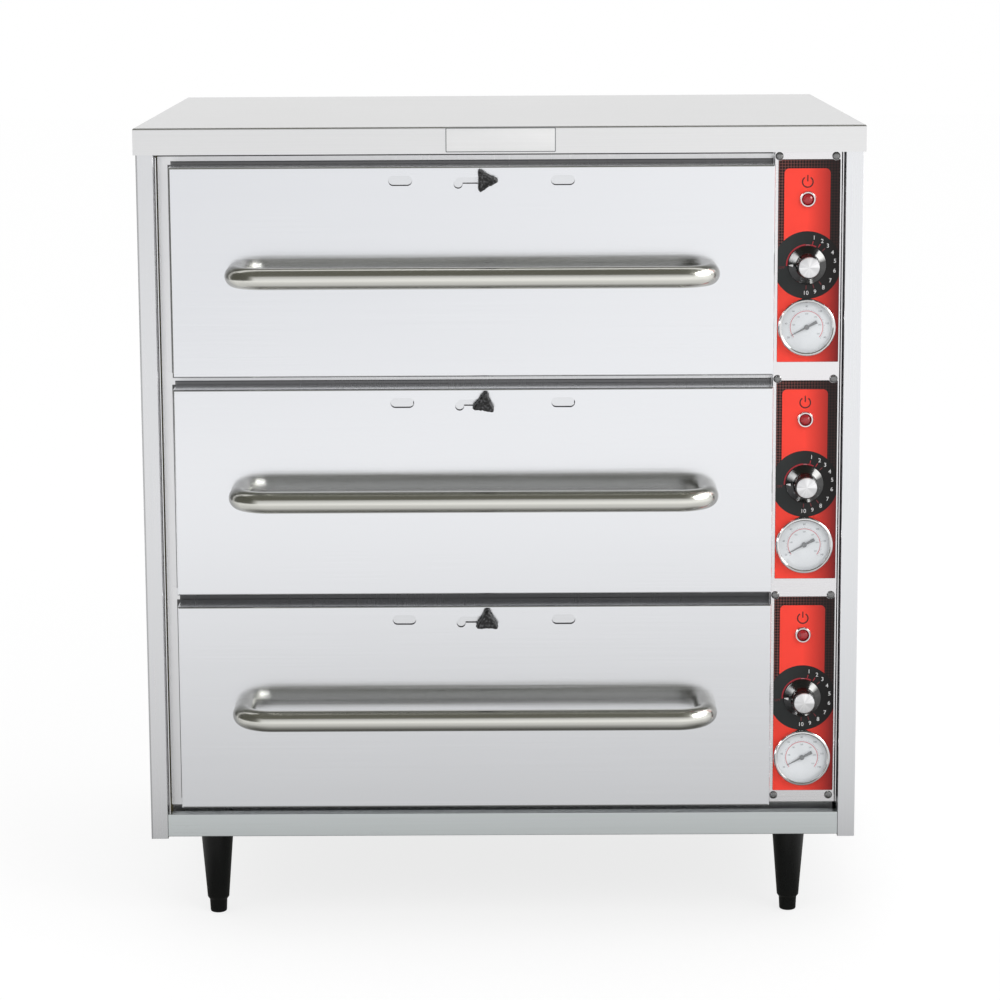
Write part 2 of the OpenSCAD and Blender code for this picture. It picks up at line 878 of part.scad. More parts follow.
module vent_slide(n) {
    x0 = front_mid + vent_shift - vent_pitch / 2 - vent_w / 2 - vent_plate_over;
    x1 = front_mid + vent_shift + vent_pitch / 2 + vent_w / 2 + vent_travel + vent_plate_over;
    color("gray")
        translate([-vent_set[n - 1], 0, 0]) {
            difference() {
                block([x0, x1], [vent_plate_d, vent_plate_d + vent_plate_t],
                    [vent_z(n) - vent_plate_h / 2, vent_z(n) + vent_plate_h / 2]);
                along_y(vent_plate_d - cut, vent_plate_t + 2 * cut)
                    vent_slots(n, vent_travel);
            }
            facing_front(stud_x, vent_plate_d + vent_plate_t / 2, vent_z(n))
                cylinder(h = vent_plate_d - front_face + thumb_t - stud_short, r = stud_r, $fn = round_fn);
        }
}

module vent_knob(n) {
    color("black")
        facing_front(stud_x - vent_set[n - 1], front_face - gap, vent_z(n))
            rotate(thumb_deg[n - 1] + 90)
                difference() {
                    union() {
                        cylinder(h = 3, r = 6.5, $fn = round_fn);
                        translate([0, 0, 2])
                            linear_extrude(thumb_t - 2) {
                                circle(7, $fn = round_fn);
                                for (a = [0, 120, 240])
                                    rotate(a) {
                                        translate([lobe_c, 0])
                                            circle(lobe_r, $fn = round_fn);
                                        translate([0, -lobe_r + 0.8])
                                            square([lobe_c, 2 * lobe_r - 1.6]);
                                    }
                            }
                        translate([0, 0, thumb_t - 0.5])
                            cylinder(h = 2.5, r1 = 6, r2 = 4.5, $fn = round_fn);
                    }
                    translate([0, 0, -cut])
                        cylinder(h = cut + thumb_t - 1, r = stud_r + fit_gap, $fn = round_fn);
                }
}

// ---- Control column ----

bushing_r = 4.8;
case_r = gauge_r - 5;
lamp_body_r = lamp_r - 2.2;
screw_shank_r = 2;

// Holes for the lamp, the thermostat and the thermometer, each wider by grow
module control_holes(n, grow) {
    translate([dial_x, lamp_z(n)])
        circle(lamp_body_r + grow, $fn = round_fn);
    translate([dial_x, dial_z(n)])
        circle(bushing_r + grow, $fn = round_fn);
    translate([dial_x, gauge_z(n)])
        circle(case_r + grow, $fn = round_fn);
}

module control_plate() {
    low = screw_zs[drawers] - 7;
    color("gainsboro")
        difference() {
            union() {
                along_z(low, flange_low + 6 - low)
                    bent([
                        [plate_left, plate_d + sheet / 2],
                        [plate_right - sheet / 2, plate_d + sheet / 2],
                        [plate_right - sheet / 2, recess - gap]
                    ], sheet);
                along_x(plate_left, plate_right - plate_left)
                    bent([
                        [plate_d + sheet / 2, low + 8],
                        [plate_d + sheet / 2, low],
                        [plate_d + 12, low]
                    ], sheet);
            }
            along_y(plate_d - cut, sheet + 2 * cut) {
                for (n = [1:drawers])
                    control_holes(n, gap);
                for (x = [screw_left, screw_right], z = screw_zs)
                    translate([x, z])
                        circle(screw_shank_r + gap, $fn = round_fn);
            }
        }
}

module overlays() {
    color("crimson")
        for (n = [1:drawers])
            along_y(overlay_face, overlay_t)
                difference() {
                    translate([overlay_x, overlay_top(n) - overlay_h / 2])
                        round_rect(overlay_w, overlay_h, 1);
                    control_holes(n, 2 * gap);
                    for (x = [screw_left, screw_right])
                        translate([x, screw_zs[n - 1]])
                            circle(screw_r + gap, $fn = round_fn);
                }
}

thermostat_w = 44;
thermostat_t = 32;
tab_x = 12;
tab_len = 9;
lamp_len = 34;
bushing_out = 5;
shaft_hole = 24;
shaft_in = 22;
knob_hub = 9;

module thermostats() {
    back = plate_d + sheet;
    half = thermostat_w / 2;
    color("tan")
        for (n = [1:drawers])
            difference() {
                union() {
                    block([dial_x - half, dial_x + half], [back, back + thermostat_t],
                        [dial_z(n) - half, dial_z(n) + half]);
                    facing_front(dial_x, back + cut, dial_z(n))
                        cylinder(h = cut + sheet + bushing_out, r = bushing_r, $fn = round_fn);
                    for (side = [-1, 1])
                        block([dial_x + side * tab_x - 3.2, dial_x + side * tab_x + 3.2],
                            [back + thermostat_t - cut, back + thermostat_t + tab_len],
                            [dial_z(n) - 0.4, dial_z(n) + 0.4]);
                }
                facing_front(dial_x, back + shaft_hole, dial_z(n))
                    cylinder(h = shaft_hole + sheet + bushing_out + cut, r = shaft_r + fit_gap, $fn = round_fn);
            }
}

// Profile of the knob: skirt, flank and face, with the hollow over the bushing
module knob_profile() {
    polygon([
        [0, 7],
        [7, 7],
        [7, 0],
        [knob_r, 0],
        [knob_r, 2.5],
        [knob_r - 0.8, 3.2],
        [knob_r - 4, 3.6],
        [knob_r - 4.6, 5],
        [knob_r - 6.6, knob_h - 2.6],
        [knob_r - 7.6, knob_h - 1],
        [cap_r + 0.1, knob_h - 1],
        [cap_r + 0.1, knob_h - 1.6],
        [0, knob_h - 1.6]
    ]);
}

module knob(n) {
    color("black")
        facing_front(dial_x, overlay_face - gap, dial_z(n)) {
            rotate_extrude($fn = round_fn)
                knob_profile();
            translate([0, 0, -shaft_in])
                cylinder(h = shaft_in + knob_hub, r = shaft_r, $fn = round_fn);
            translate([-knob_r + 1.6, 0, 2.5])
                linear_extrude(4.5)
                    polygon([[0, 0.5], [0, -0.5], [5, -1.6], [5, 1.6]]);
        }
}

module knob_cap(n) {
    color("silver")
        facing_front(dial_x, overlay_face - gap - knob_h + 1.6, dial_z(n))
            rotate_extrude($fn = round_fn)
                polygon([[0, 0], [cap_r, 0], [cap_r, 1], [cap_r - 0.5, 1.5], [0, 1.7]]);
}

module pilot_bezels() {
    color("silver")
        for (n = [1:drawers])
            facing_front(dial_x, overlay_face, lamp_z(n))
                rotate_extrude($fn = round_fn)
                    polygon([
                        [lamp_r - 2.3, 0],
                        [lamp_r, 0],
                        [lamp_r, 2.2],
                        [lamp_r - 0.9, 3.4],
                        [lamp_r - 2, 3.4],
                        [lamp_r - 2.4, 2.6],
                        [lamp_r - 2.6, -3],
                        [lamp_r - 3.4, -3],
                        [lamp_r - 3.4, -lamp_len],
                        [lamp_r - 2.3, -lamp_len]
                    ]);
}

module pilot_lenses() {
    r = lamp_r - 2.7;
    color("red")
        for (n = [1:drawers])
            facing_front(dial_x, overlay_face, lamp_z(n))
                rotate_extrude($fn = round_fn)
                    polygon([[0, -3], [r, -3], [r, 1.6], [r - 1.2, 3], [r - 3, 4], [0, 4.6]]);
}

// Depth of a thermometer's case behind the overlay and of its pointer's pivot
case_len = 16;
pivot_len = 11;
pivot_r = 0.8;

module gauge_cases() {
    color("silver")
        for (n = [1:drawers])
            facing_front(dial_x, overlay_face, gauge_z(n))
                rotate_extrude($fn = round_fn)
                    polygon([
                        [pivot_r + fit_gap, 1.5],
                        [gauge_r - 2.5, 1.5],
                        [gauge_r - 2.5, 6.5],
                        [gauge_r - 3.8, 6.5],
                        [gauge_r - 3.4, 7.4],
                        [gauge_r - 2.4, 8],
                        [gauge_r - 1.2, 7.8],
                        [gauge_r - 0.3, 6.6],
                        [gauge_r, 5],
                        [gauge_r, 0],
                        [case_r, 0],
                        [case_r, -case_len],
                        [0, -case_len],
                        [0, -pivot_len],
                        [pivot_r + fit_gap, -pivot_len]
                    ]);
}

module gauge_dials() {
    color("white")
        for (n = [1:drawers])
            facing_front(dial_x, overlay_face - 1.5, gauge_z(n))
                difference() {
                    cylinder(h = 0.7, r = gauge_r - 2.8, $fn = round_fn);
                    translate([0, 0, -cut])
                        cylinder(h = 0.7 + 2 * cut, r = 1.6, $fn = round_fn);
                }
}

module gauge_glasses() {
    color("lightblue", 0.4)
        for (n = [1:drawers])
            facing_front(dial_x, overlay_face - 5.2, gauge_z(n))
                cylinder(h = 1.2, r = gauge_r - 2.8, $fn = round_fn);
}

// Length of a pointer's thin end and of its blunt tail
tip_len = gauge_r - 12;
tail_r = 12;

module needle(n) {
    color("dimgray")
        facing_front(dial_x, overlay_face - 2.7, gauge_z(n))
            rotate(-needle_deg) {
                cylinder(h = 1.6, r = 2.6, $fn = round_fn);
                translate([0, 0, -pivot_len - 1])
                    cylinder(h = pivot_len + 1.5, r = pivot_r, $fn = round_fn);
                translate([0, 0, 0.5])
                    linear_extrude(0.6) {
                        polygon([[-1, 0], [1, 0], [0.3, tip_len], [-0.3, tip_len]]);
                        polygon([[-0.9, 0], [0.9, 0], [1.7, -tail_r], [-1.7, -tail_r]]);
                    }
            }
}

module panel_screws() {
    color("dimgray")
        for (x = [screw_left, screw_right], z = screw_zs)
            facing_front(x, plate_d, z) {
                difference() {
                    rotate_extrude($fn = round_fn)
                        polygon([
                            [0, 0],
                            [screw_r, 0],
                            [screw_r, 0.5],
                            [screw_r - 0.9, 1.6],
                            [screw_r - 2.2, 2.1],
                            [0, 2.3]
                        ]);
                    for (a = [0, 90])
                        rotate(a + 20)
                            translate([-2.1, -0.4, 1.3])
                                cube([4.2, 0.8, 2]);
                }
                translate([0, 0, -sheet - 6])
                    cylinder(h = sheet + 6.2, r = screw_shank_r - 0.1, $fn = round_fn);
            }
}

// ---- Supply ----

block_d = cav_back - block_inset;
block_len = 26;
block_h = 22;
block_pitch = 20;
trunk_r = 4;
trunk_shift = 30;
lead_r = 1.6;

module terminal_block() {
    z = pan_floor + sheet;
    color("ivory")
        difference() {
            block([gland_x - block_w / 2, gland_x + block_w / 2], [block_d, block_d + block_len],
                [z, z + block_h]);
            for (i = [-1, 0, 1])
                let (x = gland_x + i * block_pitch)
                    block([x - 7, x + 7], [block_d + 6, block_d + block_len - 6],
                        [z + 12, z + block_h + cut]);
        }
}

module cord_gland() {
    color("black")
        facing_front(gland_x, body_back + 5, gland_z)
            rotate_extrude($fn = round_fn)
                polygon([
                    [cord_r, 0],
                    [gland_r + 2, 0],
                    [gland_r + 4, 2],
                    [gland_r + 4, 5],
                    [gland_r, 5],
                    [gland_r, 14],
                    [cord_r, 14]
                ]);
}

// Straight piece of a lead from point a to just past point b of (x, depth, z)
module lead(a, b, r) {
    run = b - a;
    len = norm(run);
    translate([a[0], face_y + a[1], a[2]])
        rotate([0, acos(run[2] / len), atan2(run[1], run[0])])
            cylinder(h = len + r / 2, r = r, $fn = round_fn);
}

// Harness in the control compartment: a trunk with leads to the parts it feeds
module wiring() {
    x = dial_x + trunk_shift;
    d = element_runs[0];
    d_far = element_runs[3];
    low = pan_floor + sheet + trunk_r + gap;
    tab_d = plate_d + sheet + thermostat_t + tab_len;
    color("darkred")
        union() {
            lead([x, d, lamp_z(1)], [x, d, low], trunk_r);
            lead([x, block_d, low], [x, d, low], trunk_r);
            for (n = [1:drawers])
                let (z = cav_floor(n) + element_z) {
                    for (side = [-1, 1]) {
                        lead([dial_x + side * tab_x, tab_d, dial_z(n)],
                            [dial_x + side * tab_x, d, dial_z(n)], lead_r);
                    }
                    lead([x, d, dial_z(n)], [dial_x - tab_x, d, dial_z(n)], lead_r);
                    lead([dial_x, overlay_face + lamp_len, lamp_z(n)], [dial_x, d, lamp_z(n)], lead_r);
                    lead([x, d, lamp_z(n)], [dial_x, d, lamp_z(n)], lead_r);
                    lead([cav_right + tail_len, d, z], [x, d, z], lead_r);
                    lead([cav_right + tail_len, d_far, z], [x, d_far, z], lead_r);
                    lead([x, d, z], [x, d_far, z], lead_r);
                }
        }
}

// ---- Legs and feet ----

leg_bottom = foot_h;

module legs() {
    color("black")
        for (p = leg_at)
            translate([p[0], face_y + p[1], 0])
                rotate_extrude($fn = round_fn)
                    polygon([
                        [stem_r + fit_gap, leg_bottom],
                        [foot_r + 0.4, leg_bottom],
                        [leg_low_r, leg_bottom + 2.5],
                        [leg_top_r - 0.4, pan_floor - 6],
                        [leg_top_r, pan_floor],
                        [leg_bolt_r, pan_floor],
                        [leg_bolt_r, pan_floor + leg_bolt_h],
                        [0, pan_floor + leg_bolt_h],
                        [0, leg_bottom + stem_len + 2],
                        [stem_r + fit_gap, leg_bottom + stem_len + 2]
                    ]);
}

module foot(i) {
    color("black")
        translate([leg_at[i - 1][0], face_y + leg_at[i - 1][1], 0])
            rotate_extrude($fn = round_fn)
                polygon([
                    [0, 0],
                    [foot_r - 2, 0],
                    [foot_r - 1, 0.6],
                    [foot_r - 0.6, 1.8],
                    [foot_r, foot_h - gap],
                    [stem_r, foot_h - gap],
                    [stem_r, foot_h + stem_len - 1],
                    [stem_r - 1, foot_h + stem_len],
                    [0, foot_h + stem_len]
                ]);
}

top_panel();
left_side_panel();
right_side_panel();
rear_panel();
base_pan();
inner_frame();
cavity_liners();
insulation();
heating_elements();
fixed_slides();
control_plate();
overlays();
thermostats();
pilot_bezels();
pilot_lenses();
gauge_cases();
gauge_dials();
gauge_glasses();
legs();
panel_screws();
terminal_block();
cord_gland();
wiring();
drawer_front(1);  // drawer_front_1
drawer_front(2);  // drawer_front_2
drawer_front(3);  // drawer_front_3
drawer_liner(1);  // drawer_liner_1
drawer_liner(2);  // drawer_liner_2
drawer_liner(3);  // drawer_liner_3
handle(1);  // handle_1
handle(2);  // handle_2
handle(3);  // handle_3
drawer_frame(1);  // drawer_frame_1
drawer_frame(2);  // drawer_frame_2
drawer_frame(3);  // drawer_frame_3
food_pan(1);  // food_pan_1
food_pan(2);  // food_pan_2
food_pan(3);  // food_pan_3
mid_slides(1);  // mid_slides_1
mid_slides(2);  // mid_slides_2
mid_slides(3);  // mid_slides_3
vent_slide(1);  // vent_slide_1
vent_slide(2);  // vent_slide_2
vent_slide(3);  // vent_slide_3
vent_knob(1);  // vent_knob_1
vent_knob(2);  // vent_knob_2
vent_knob(3);  // vent_knob_3
knob(1);  // knob_1
knob(2);  // knob_2
knob(3);  // knob_3
knob_cap(1);  // knob_cap_1
knob_cap(2);  // knob_cap_2
knob_cap(3);  // knob_cap_3
needle(1);  // needle_1
needle(2);  // needle_2
needle(3);  // needle_3
foot(1);  // foot_1
foot(2);  // foot_2
foot(3);  // foot_3
foot(4);  // foot_4
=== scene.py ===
import json
import logging
import math
from dataclasses import dataclass
from enum import Enum
from itertools import product
from typing import Sequence

import bmesh
import bpy
from mathutils import Matrix, Vector, noise


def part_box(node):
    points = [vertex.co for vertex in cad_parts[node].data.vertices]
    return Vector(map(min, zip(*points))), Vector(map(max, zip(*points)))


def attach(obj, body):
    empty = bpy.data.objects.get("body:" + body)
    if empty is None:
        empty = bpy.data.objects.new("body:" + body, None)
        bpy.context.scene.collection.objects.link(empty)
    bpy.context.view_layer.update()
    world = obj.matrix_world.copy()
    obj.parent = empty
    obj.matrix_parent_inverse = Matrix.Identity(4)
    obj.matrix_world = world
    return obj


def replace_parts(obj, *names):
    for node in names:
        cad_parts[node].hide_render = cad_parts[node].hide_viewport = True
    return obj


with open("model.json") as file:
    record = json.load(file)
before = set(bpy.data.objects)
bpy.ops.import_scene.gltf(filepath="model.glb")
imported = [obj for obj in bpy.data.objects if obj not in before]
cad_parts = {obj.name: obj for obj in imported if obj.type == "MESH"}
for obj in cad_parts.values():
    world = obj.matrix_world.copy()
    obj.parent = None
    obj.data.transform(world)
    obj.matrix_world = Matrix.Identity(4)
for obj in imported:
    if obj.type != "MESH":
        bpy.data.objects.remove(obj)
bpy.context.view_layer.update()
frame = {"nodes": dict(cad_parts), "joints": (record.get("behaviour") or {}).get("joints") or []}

# Where a text names no unit, lengths are in metres and angles in degrees
MM = 0.001
DRAWERS = (1, 2, 3)
THUMB_TURNS = (-90.0, -8.0, 0.0)
FEET = (1, 2, 3, 4)
UP = Vector((0.0, 0.0, 1.0))
log = logging.getLogger("warming_cabinet")

Pair = tuple[float, float]
Triple = tuple[float, float, float]
Colour = Triple
Looks = dict[str, object]
Mesh = bmesh.types.BMesh
Node = bpy.types.Node
Socket = bpy.types.NodeSocket

WHITE: Colour = (1.0, 1.0, 1.0)
BLACK: Colour = (0.0, 0.0, 0.0)


def tone(*screen: float) -> Colour:
    """Turns red, green and blue as seen on screen, from 0 to 255, into the linear values that a shader takes."""
    parts = [value / 255 for value in screen]
    return tuple(part / 12.92 if part <= 0.04045 else ((part + 0.055) / 1.055) ** 2.4 for part in parts)


class Grain(Enum):
    """How a surface's brush marks run: the stretch of the noise along x, y and z, per metre."""

    LEVEL = (5.0, 420.0, 620.0)
    UPRIGHT = (620.0, 420.0, 5.0)
    FRONT_TO_BACK = (620.0, 5.0, 420.0)
    NONE = (160.0, 160.0, 160.0)


class Board:
    """A node tree with short calls to place nodes and feed them."""

    def __init__(self, owner: bpy.types.ID) -> None:
        """Takes a node tree and empties it.

        Args:
            owner: The material or the world that it belongs to.
        """
        owner.use_nodes = True
        self.tree = owner.node_tree
        self.tree.nodes.clear()

    def feed(self, socket: Socket, value: object) -> None:
        """Joins a node to a socket, or sets the socket's own value.

        Args:
            socket: The socket.
            value: A node, whose first output counts, an output, a number, a vector or an opaque colour.
        """
        if isinstance(value, (Node, Socket)):
            self.tree.links.new(value.outputs[0] if isinstance(value, Node) else value, socket)
        else:
            socket.default_value = (*value, 1.0) if socket.type == "RGBA" else value

    def place(self, kind: str, *inputs: object, **values: object) -> Node:
        """Adds a node, sets its properties and feeds its sockets.

        Args:
            kind: The node's type, without the leading ShaderNode.
            *inputs: What its first sockets get, in order.
            **values: Properties in small letters, and sockets by their names with underscores for spaces.

        Returns:
            The new node.
        """
        node = self.tree.nodes.new("ShaderNode" + kind)
        for key, value in values.items():
            if key.islower():
                setattr(node, key, value)
            else:
                self.feed(node.inputs[key.replace("_", " ")], value)
        for socket, value in zip(node.inputs, inputs):
            self.feed(socket, value)
        return node

    def coords(self, **mapping: object) -> Node | Socket:
        """Object coordinates in metres, mapped where settings of a mapping are given."""
        spot = self.place("TexCoord").outputs["Object"]
        return self.place("Mapping", spot, **mapping) if mapping else spot

    def split(self, **mapping: object) -> bpy.types.bpy_prop_collection:
        """Those coordinates, split into the outputs X, Y and Z."""
        return self.place("SeparateXYZ", self.coords(**mapping)).outputs

    def cloud(self, stretch: float | Triple, detail: float = 3.0) -> Node:
        """Noise from 0 to 1, with its stretch per metre along all axes or each, and its octaves."""
        spot = self.coords(Scale=(stretch,) * 3 if isinstance(stretch, float) else stretch)
        return self.place("TexNoise", spot, Scale=1.0, Detail=detail, Roughness=0.55)

    def spread(self, value: object, low: float, high: float, start: float = 0.3, end: float = 0.7) -> Node:
        """Maps a value from start..end to low..high, and holds it at those outside."""
        return self.place("MapRange", value, start, end, low, high)

    def blend(self, share: object, first: object, second: object) -> Socket:
        """Mixes two colours.

        Args:
            share: 0 for the first colour and 1 for the second.
            first: The first colour, or a node or output that gives it.
            second: The second one.

        Returns:
            The mixed colour.
        """
        mix = self.place("Mix", share, data_type="RGBA")
        self.feed(mix.inputs[6], first)
        self.feed(mix.inputs[7], second)
        return mix.outputs[2]

    def reckon(self, operation: str, *inputs: object) -> Node:
        """A sum on numbers."""
        return self.place("Math", *inputs, operation=operation)

    def vector(self, operation: str, *inputs: object, **values: object) -> Node:
        """A sum on vectors."""
        return self.place("VectorMath", *inputs, operation=operation, **values)

    def seen_rays(self) -> Node:
        """Sorts out the rays that show a background.

        Returns:
            1 for camera, glossy and transmission rays, and 0 for others.
        """
        camera, glossy, clear = (self.place("LightPath").outputs[f"Is {kind} Ray"]
                                 for kind in ("Camera", "Glossy", "Transmission"))
        return self.reckon("MAXIMUM", self.reckon("MAXIMUM", camera, glossy), clear)

    def bump(self, height: object, strength: float, depth: float) -> Node:
        """The normal over a height from 0 to 1, with its strength and the depth of 1 in metres."""
        return self.place("Bump", Height=height, Strength=strength, Distance=depth)


@dataclass(frozen=True)
class Finish:
    """A finish that can be put on a piece.

    Attributes:
        name: The material's name.
        colour: Its main colour, in linear light.
        roughness: Its middle roughness.
        fade: Painted light or shade along an axis: the axis, start and end in metres, and its factor from there on.
    """

    name: str
    colour: Colour
    roughness: float = 1.0
    fade: tuple[str, float, float, float] | None = None

    def material(self) -> bpy.types.Material:
        """Builds the material when it is first asked for.

        Returns:
            The material.
        """
        label = f"{self.name}_finish"
        made = bpy.data.materials.get(label)
        if made is None:
            made = bpy.data.materials.new(label)
            made.diffuse_color = (*self.colour, 1.0)
            board = Board(made)
            board.place("OutputMaterial", self.shader(board))
        return made

    def shader(self, board: Board) -> Node:
        """The finish's shader: its plain values, and its looks over them."""
        plain = {"Base_Color": self.colour, "Roughness": self.roughness}
        return board.place("BsdfPrincipled", **(plain | self.looks(board)))

    def looks(self, board: Board) -> Looks:
        """What the finish itself feeds to sockets of its shader, by their names; here nothing."""
        return {}

    def shades(self, low: float, high: float) -> tuple[Colour, Colour]:
        """The main colour darkened by the factor low, and lightened by the factor high."""
        return tuple(part * low for part in self.colour), tuple(min(1.0, part * high) for part in self.colour)

    def faded(self, board: Board, colour: Socket) -> Node | Socket:
        """Paints light or shade onto a colour along an axis, where the finish has such a fade.

        Args:
            board: The node tree.
            colour: The colour before the change.

        Returns:
            The colour after it.
        """
        if self.fade is None:
            return colour
        axis, start, end, factor = self.fade
        return board.vector("SCALE", colour, Scale=board.spread(board.split()[axis], 1.0, factor, start, end))


@dataclass(frozen=True)
class BrushedSteel(Finish):
    """Stainless sheet with fine brush marks and faint clouds.

    Attributes:
        grain: Direction of the brush marks.
        streak: Share by which the marks change the colour.
        metallic: How metallic the surface is.
        relief: How strongly the marks bend the light.
    """

    grain: Grain = Grain.LEVEL
    streak: float = 0.03
    metallic: float = 1.0
    relief: float = 0.06

    def looks(self, board: Board) -> Looks:
        """Brush marks, clouds and a varying roughness.

        Args:
            board: The node tree.

        Returns:
            Values for the shader's sockets.
        """
        marks, clouds = board.cloud(self.grain.value, 4.0), board.cloud((3.0, 3.0, 2.2), 2.0)
        both = board.reckon("ADD", board.spread(marks, 0.0, 0.6), board.spread(clouds, 0.0, 0.4))
        sheet = board.blend(both, *self.shades(1.0 - self.streak, 1.0 + self.streak))
        return {"Metallic": self.metallic, "Base_Color": self.faded(board, sheet),
                "Roughness": board.spread(both, self.roughness * 0.82, self.roughness * 1.2, 0.0, 1.0),
                "Normal": board.bump(marks, self.relief, 0.0004)}


@dataclass(frozen=True)
class LinedSteel(BrushedSteel):
    """Stainless sheet with dark bands, which on the frame are painted shade where the drawers and the top meet it.

    Attributes:
        bands: For each band its left, right, lower and upper edge in metres, and its share of the dark colour.
        dark: Colour in the bands.
    """

    bands: tuple[tuple[float, float, float, float, float], ...] = ()
    dark: Colour = (0.1, 0.1, 0.102)

    def looks(self, board: Board) -> Looks:
        """The bands on the brushed sheet.

        Args:
            board: The node tree.

        Returns:
            Values for the shader's sockets.
        """
        sheet, spot, darkest = super().looks(board), board.split(), 0.0
        for left, right, low, high, share in self.bands:
            across = board.reckon("COMPARE", spot["X"], (left + right) / 2, (right - left) / 2)
            upright = board.reckon("COMPARE", spot["Z"], (low + high) / 2, (high - low) / 2)
            inside = board.reckon("MULTIPLY", board.reckon("MINIMUM", across, upright), share)
            darkest = board.reckon("MAXIMUM", darkest, inside)
        return sheet | {"Base_Color": board.blend(darkest, sheet["Base_Color"], self.dark)}


@dataclass(frozen=True)
class PolishedMetal(Finish):
    """Bright drawn or plated metal with faint scratches in one direction, its grain."""

    grain: Grain = Grain.LEVEL

    def looks(self, board: Board) -> Looks:
        """Faint scratches in the roughness and the colour.

        Args:
            board: The node tree.

        Returns:
            Values for the shader's sockets.
        """
        marks = board.cloud(self.grain.value)
        return {"Metallic": 1.0, "Base_Color": self.faded(board, board.blend(marks, *self.shades(0.94, 1.04))),
                "Roughness": board.spread(marks, self.roughness * 0.8, self.roughness * 1.25),
                "Normal": board.bump(marks, 0.04, 0.0003)}


@dataclass(frozen=True)
class Moulded(Finish):
    """Moulded or painted plastic.

    Attributes:
        coat: Weight of a clear gloss on top.
        pebble: Grain of the surface per metre.
        relief: How strongly the grain bends the light.
    """

    coat: float = 0.0
    pebble: float = 900.0
    relief: float = 0.08

    def looks(self, board: Board) -> Looks:
        """A fine grain, a varying roughness and the gloss.

        Args:
            board: The node tree.

        Returns:
            Values for the shader's sockets.
        """
        wear = board.cloud(25.0, 2.0)
        return {"Coat_Weight": self.coat, "Coat_Roughness": 0.13,
                "Base_Color": board.blend(wear, *self.shades(0.85, 1.2)),
                "Roughness": board.spread(wear, self.roughness * 0.85, min(1.0, self.roughness * 1.2)),
                "Normal": board.bump(board.cloud(self.pebble), self.relief, 0.0005)}


@dataclass(frozen=True)
class Marbled(Finish):
    """Rough black thermoset with greyer flecks of their own colour."""

    fleck: Colour = (0.12, 0.12, 0.12)

    def looks(self, board: Board) -> Looks:
        """The flecks, and a rough surface.

        Args:
            board: The node tree.

        Returns:
            Values for the shader's sockets.
        """
        flecks = board.cloud(420.0, 4.0)
        return {"Base_Color": board.blend(board.spread(flecks, 0.0, 1.0, 0.5, 0.7), self.colour, self.fleck),
                "Normal": board.bump(flecks, 0.5, 0.0012)}


@dataclass(frozen=True)
class GradedPrint(Finish):
    """Glossy printed film, with a painted shade that turns it towards a second colour between two places.

    Attributes:
        other: The second colour.
        left: Where the painted shade begins, x.
        right: Where it ends, x.
        gloss: Level of the film's own reflection.
    """

    other: Colour = BLACK
    left: float = 0.318
    right: float = 0.352
    gloss: float = 0.2

    def looks(self, board: Board) -> Looks:
        """The pattern in the two colours and a clear gloss.

        Args:
            board: The node tree.

        Returns:
            Values for the shader's sockets.
        """
        share, relief = self.pattern(board)
        return {"Coat_Weight": 0.15, "Coat_Roughness": 0.1, "Specular_IOR_Level": self.gloss,
                "Base_Color": board.blend(share, self.colour, self.other), "Normal": relief}

    def pattern(self, board: Board) -> tuple[Node, Node]:
        """The painted shade's share, which grows to the right, and a fine relief."""
        share = board.spread(board.split()["X"], 0.0, 1.0, self.left, self.right)
        return share, board.bump(board.cloud(700.0), 0.03, 0.0002)


@dataclass(frozen=True)
class WovenPrint(GradedPrint):
    """Such film with a diagonal weave of so many squares per metre, whose lighter squares fade to the right in a
    painted shade.
    """

    pitch: float = 470.0

    def pattern(self, board: Board) -> tuple[Node, Node]:
        """Checks on coordinates that are turned by 45 degrees, and their relief.

        Args:
            board: The node tree.

        Returns:
            The lighter squares' share and the normal.
        """
        turned = board.split(vector_type="TEXTURE", Rotation=(0.0, math.radians(45.0), 0.0))
        flat = board.place("CombineXYZ", turned["X"], turned["Z"])
        check = board.place("TexChecker", flat, Scale=self.pitch).outputs["Fac"]
        # Painted shade: the lighter squares fade out towards the right
        seen = board.spread(board.split()["X"], 1.0, 0.12, self.left, self.right)
        return board.reckon("MULTIPLY", check, seen), board.bump(check, 0.1, 0.0001)


@dataclass(frozen=True)
class SpunDisc(Finish):
    """Aluminium turned on a lathe round a centre, x and z: rings, and light that falls in wedges."""

    centre: Pair = (0.0, 0.0)

    def looks(self, board: Board) -> Looks:
        """Painted highlights in wedges round the centre, and fine rings.

        Args:
            board: The node tree.

        Returns:
            Values for the shader's sockets.
        """
        spot = board.split(Location=(-self.centre[0], 0.0, -self.centre[1]))
        angle = board.reckon("ARCTAN2", spot["Z"], spot["X"])
        wedges = board.place("TexNoise", noise_dimensions="1D", W=angle, Scale=1.1, Detail=2.0)
        flat = board.place("CombineXYZ", spot["X"], spot["Z"])
        rings = board.place("TexWave", flat, wave_type="RINGS", rings_direction="SPHERICAL", Scale=700.0)
        return {"Metallic": 1.0,
                "Base_Color": board.blend(board.spread(wedges, 0.0, 1.0, 0.35, 0.65), *self.shades(0.8, 1.15)),
                "Normal": board.bump(rings.outputs["Fac"], 0.12, 0.00005)}


@dataclass(frozen=True)
class ClearGlass(Finish):
    """Thin window glass over a dial."""

    def looks(self, board: Board) -> Looks:
        """Faint smears on a sheet that lets most of the light through."""
        return {"Alpha": 0.02, "Roughness": board.spread(board.cloud(60.0, 2.0), 0.02, 0.06)}


@dataclass(frozen=True)
class LampLens(Finish):
    """Deep red moulded lens."""

    def looks(self, board: Board) -> Looks:
        """Ribs that catch the light and a clear gloss.

        Args:
            board: The node tree.

        Returns:
            Values for the shader's sockets.
        """
        depth = board.cloud(240.0, 2.0)
        return {"Coat_Weight": 0.8, "Coat_Roughness": 0.04,
                "Base_Color": board.blend(depth, *self.shades(0.6, 1.3)), "Normal": board.bump(depth, 0.15, 0.0006)}


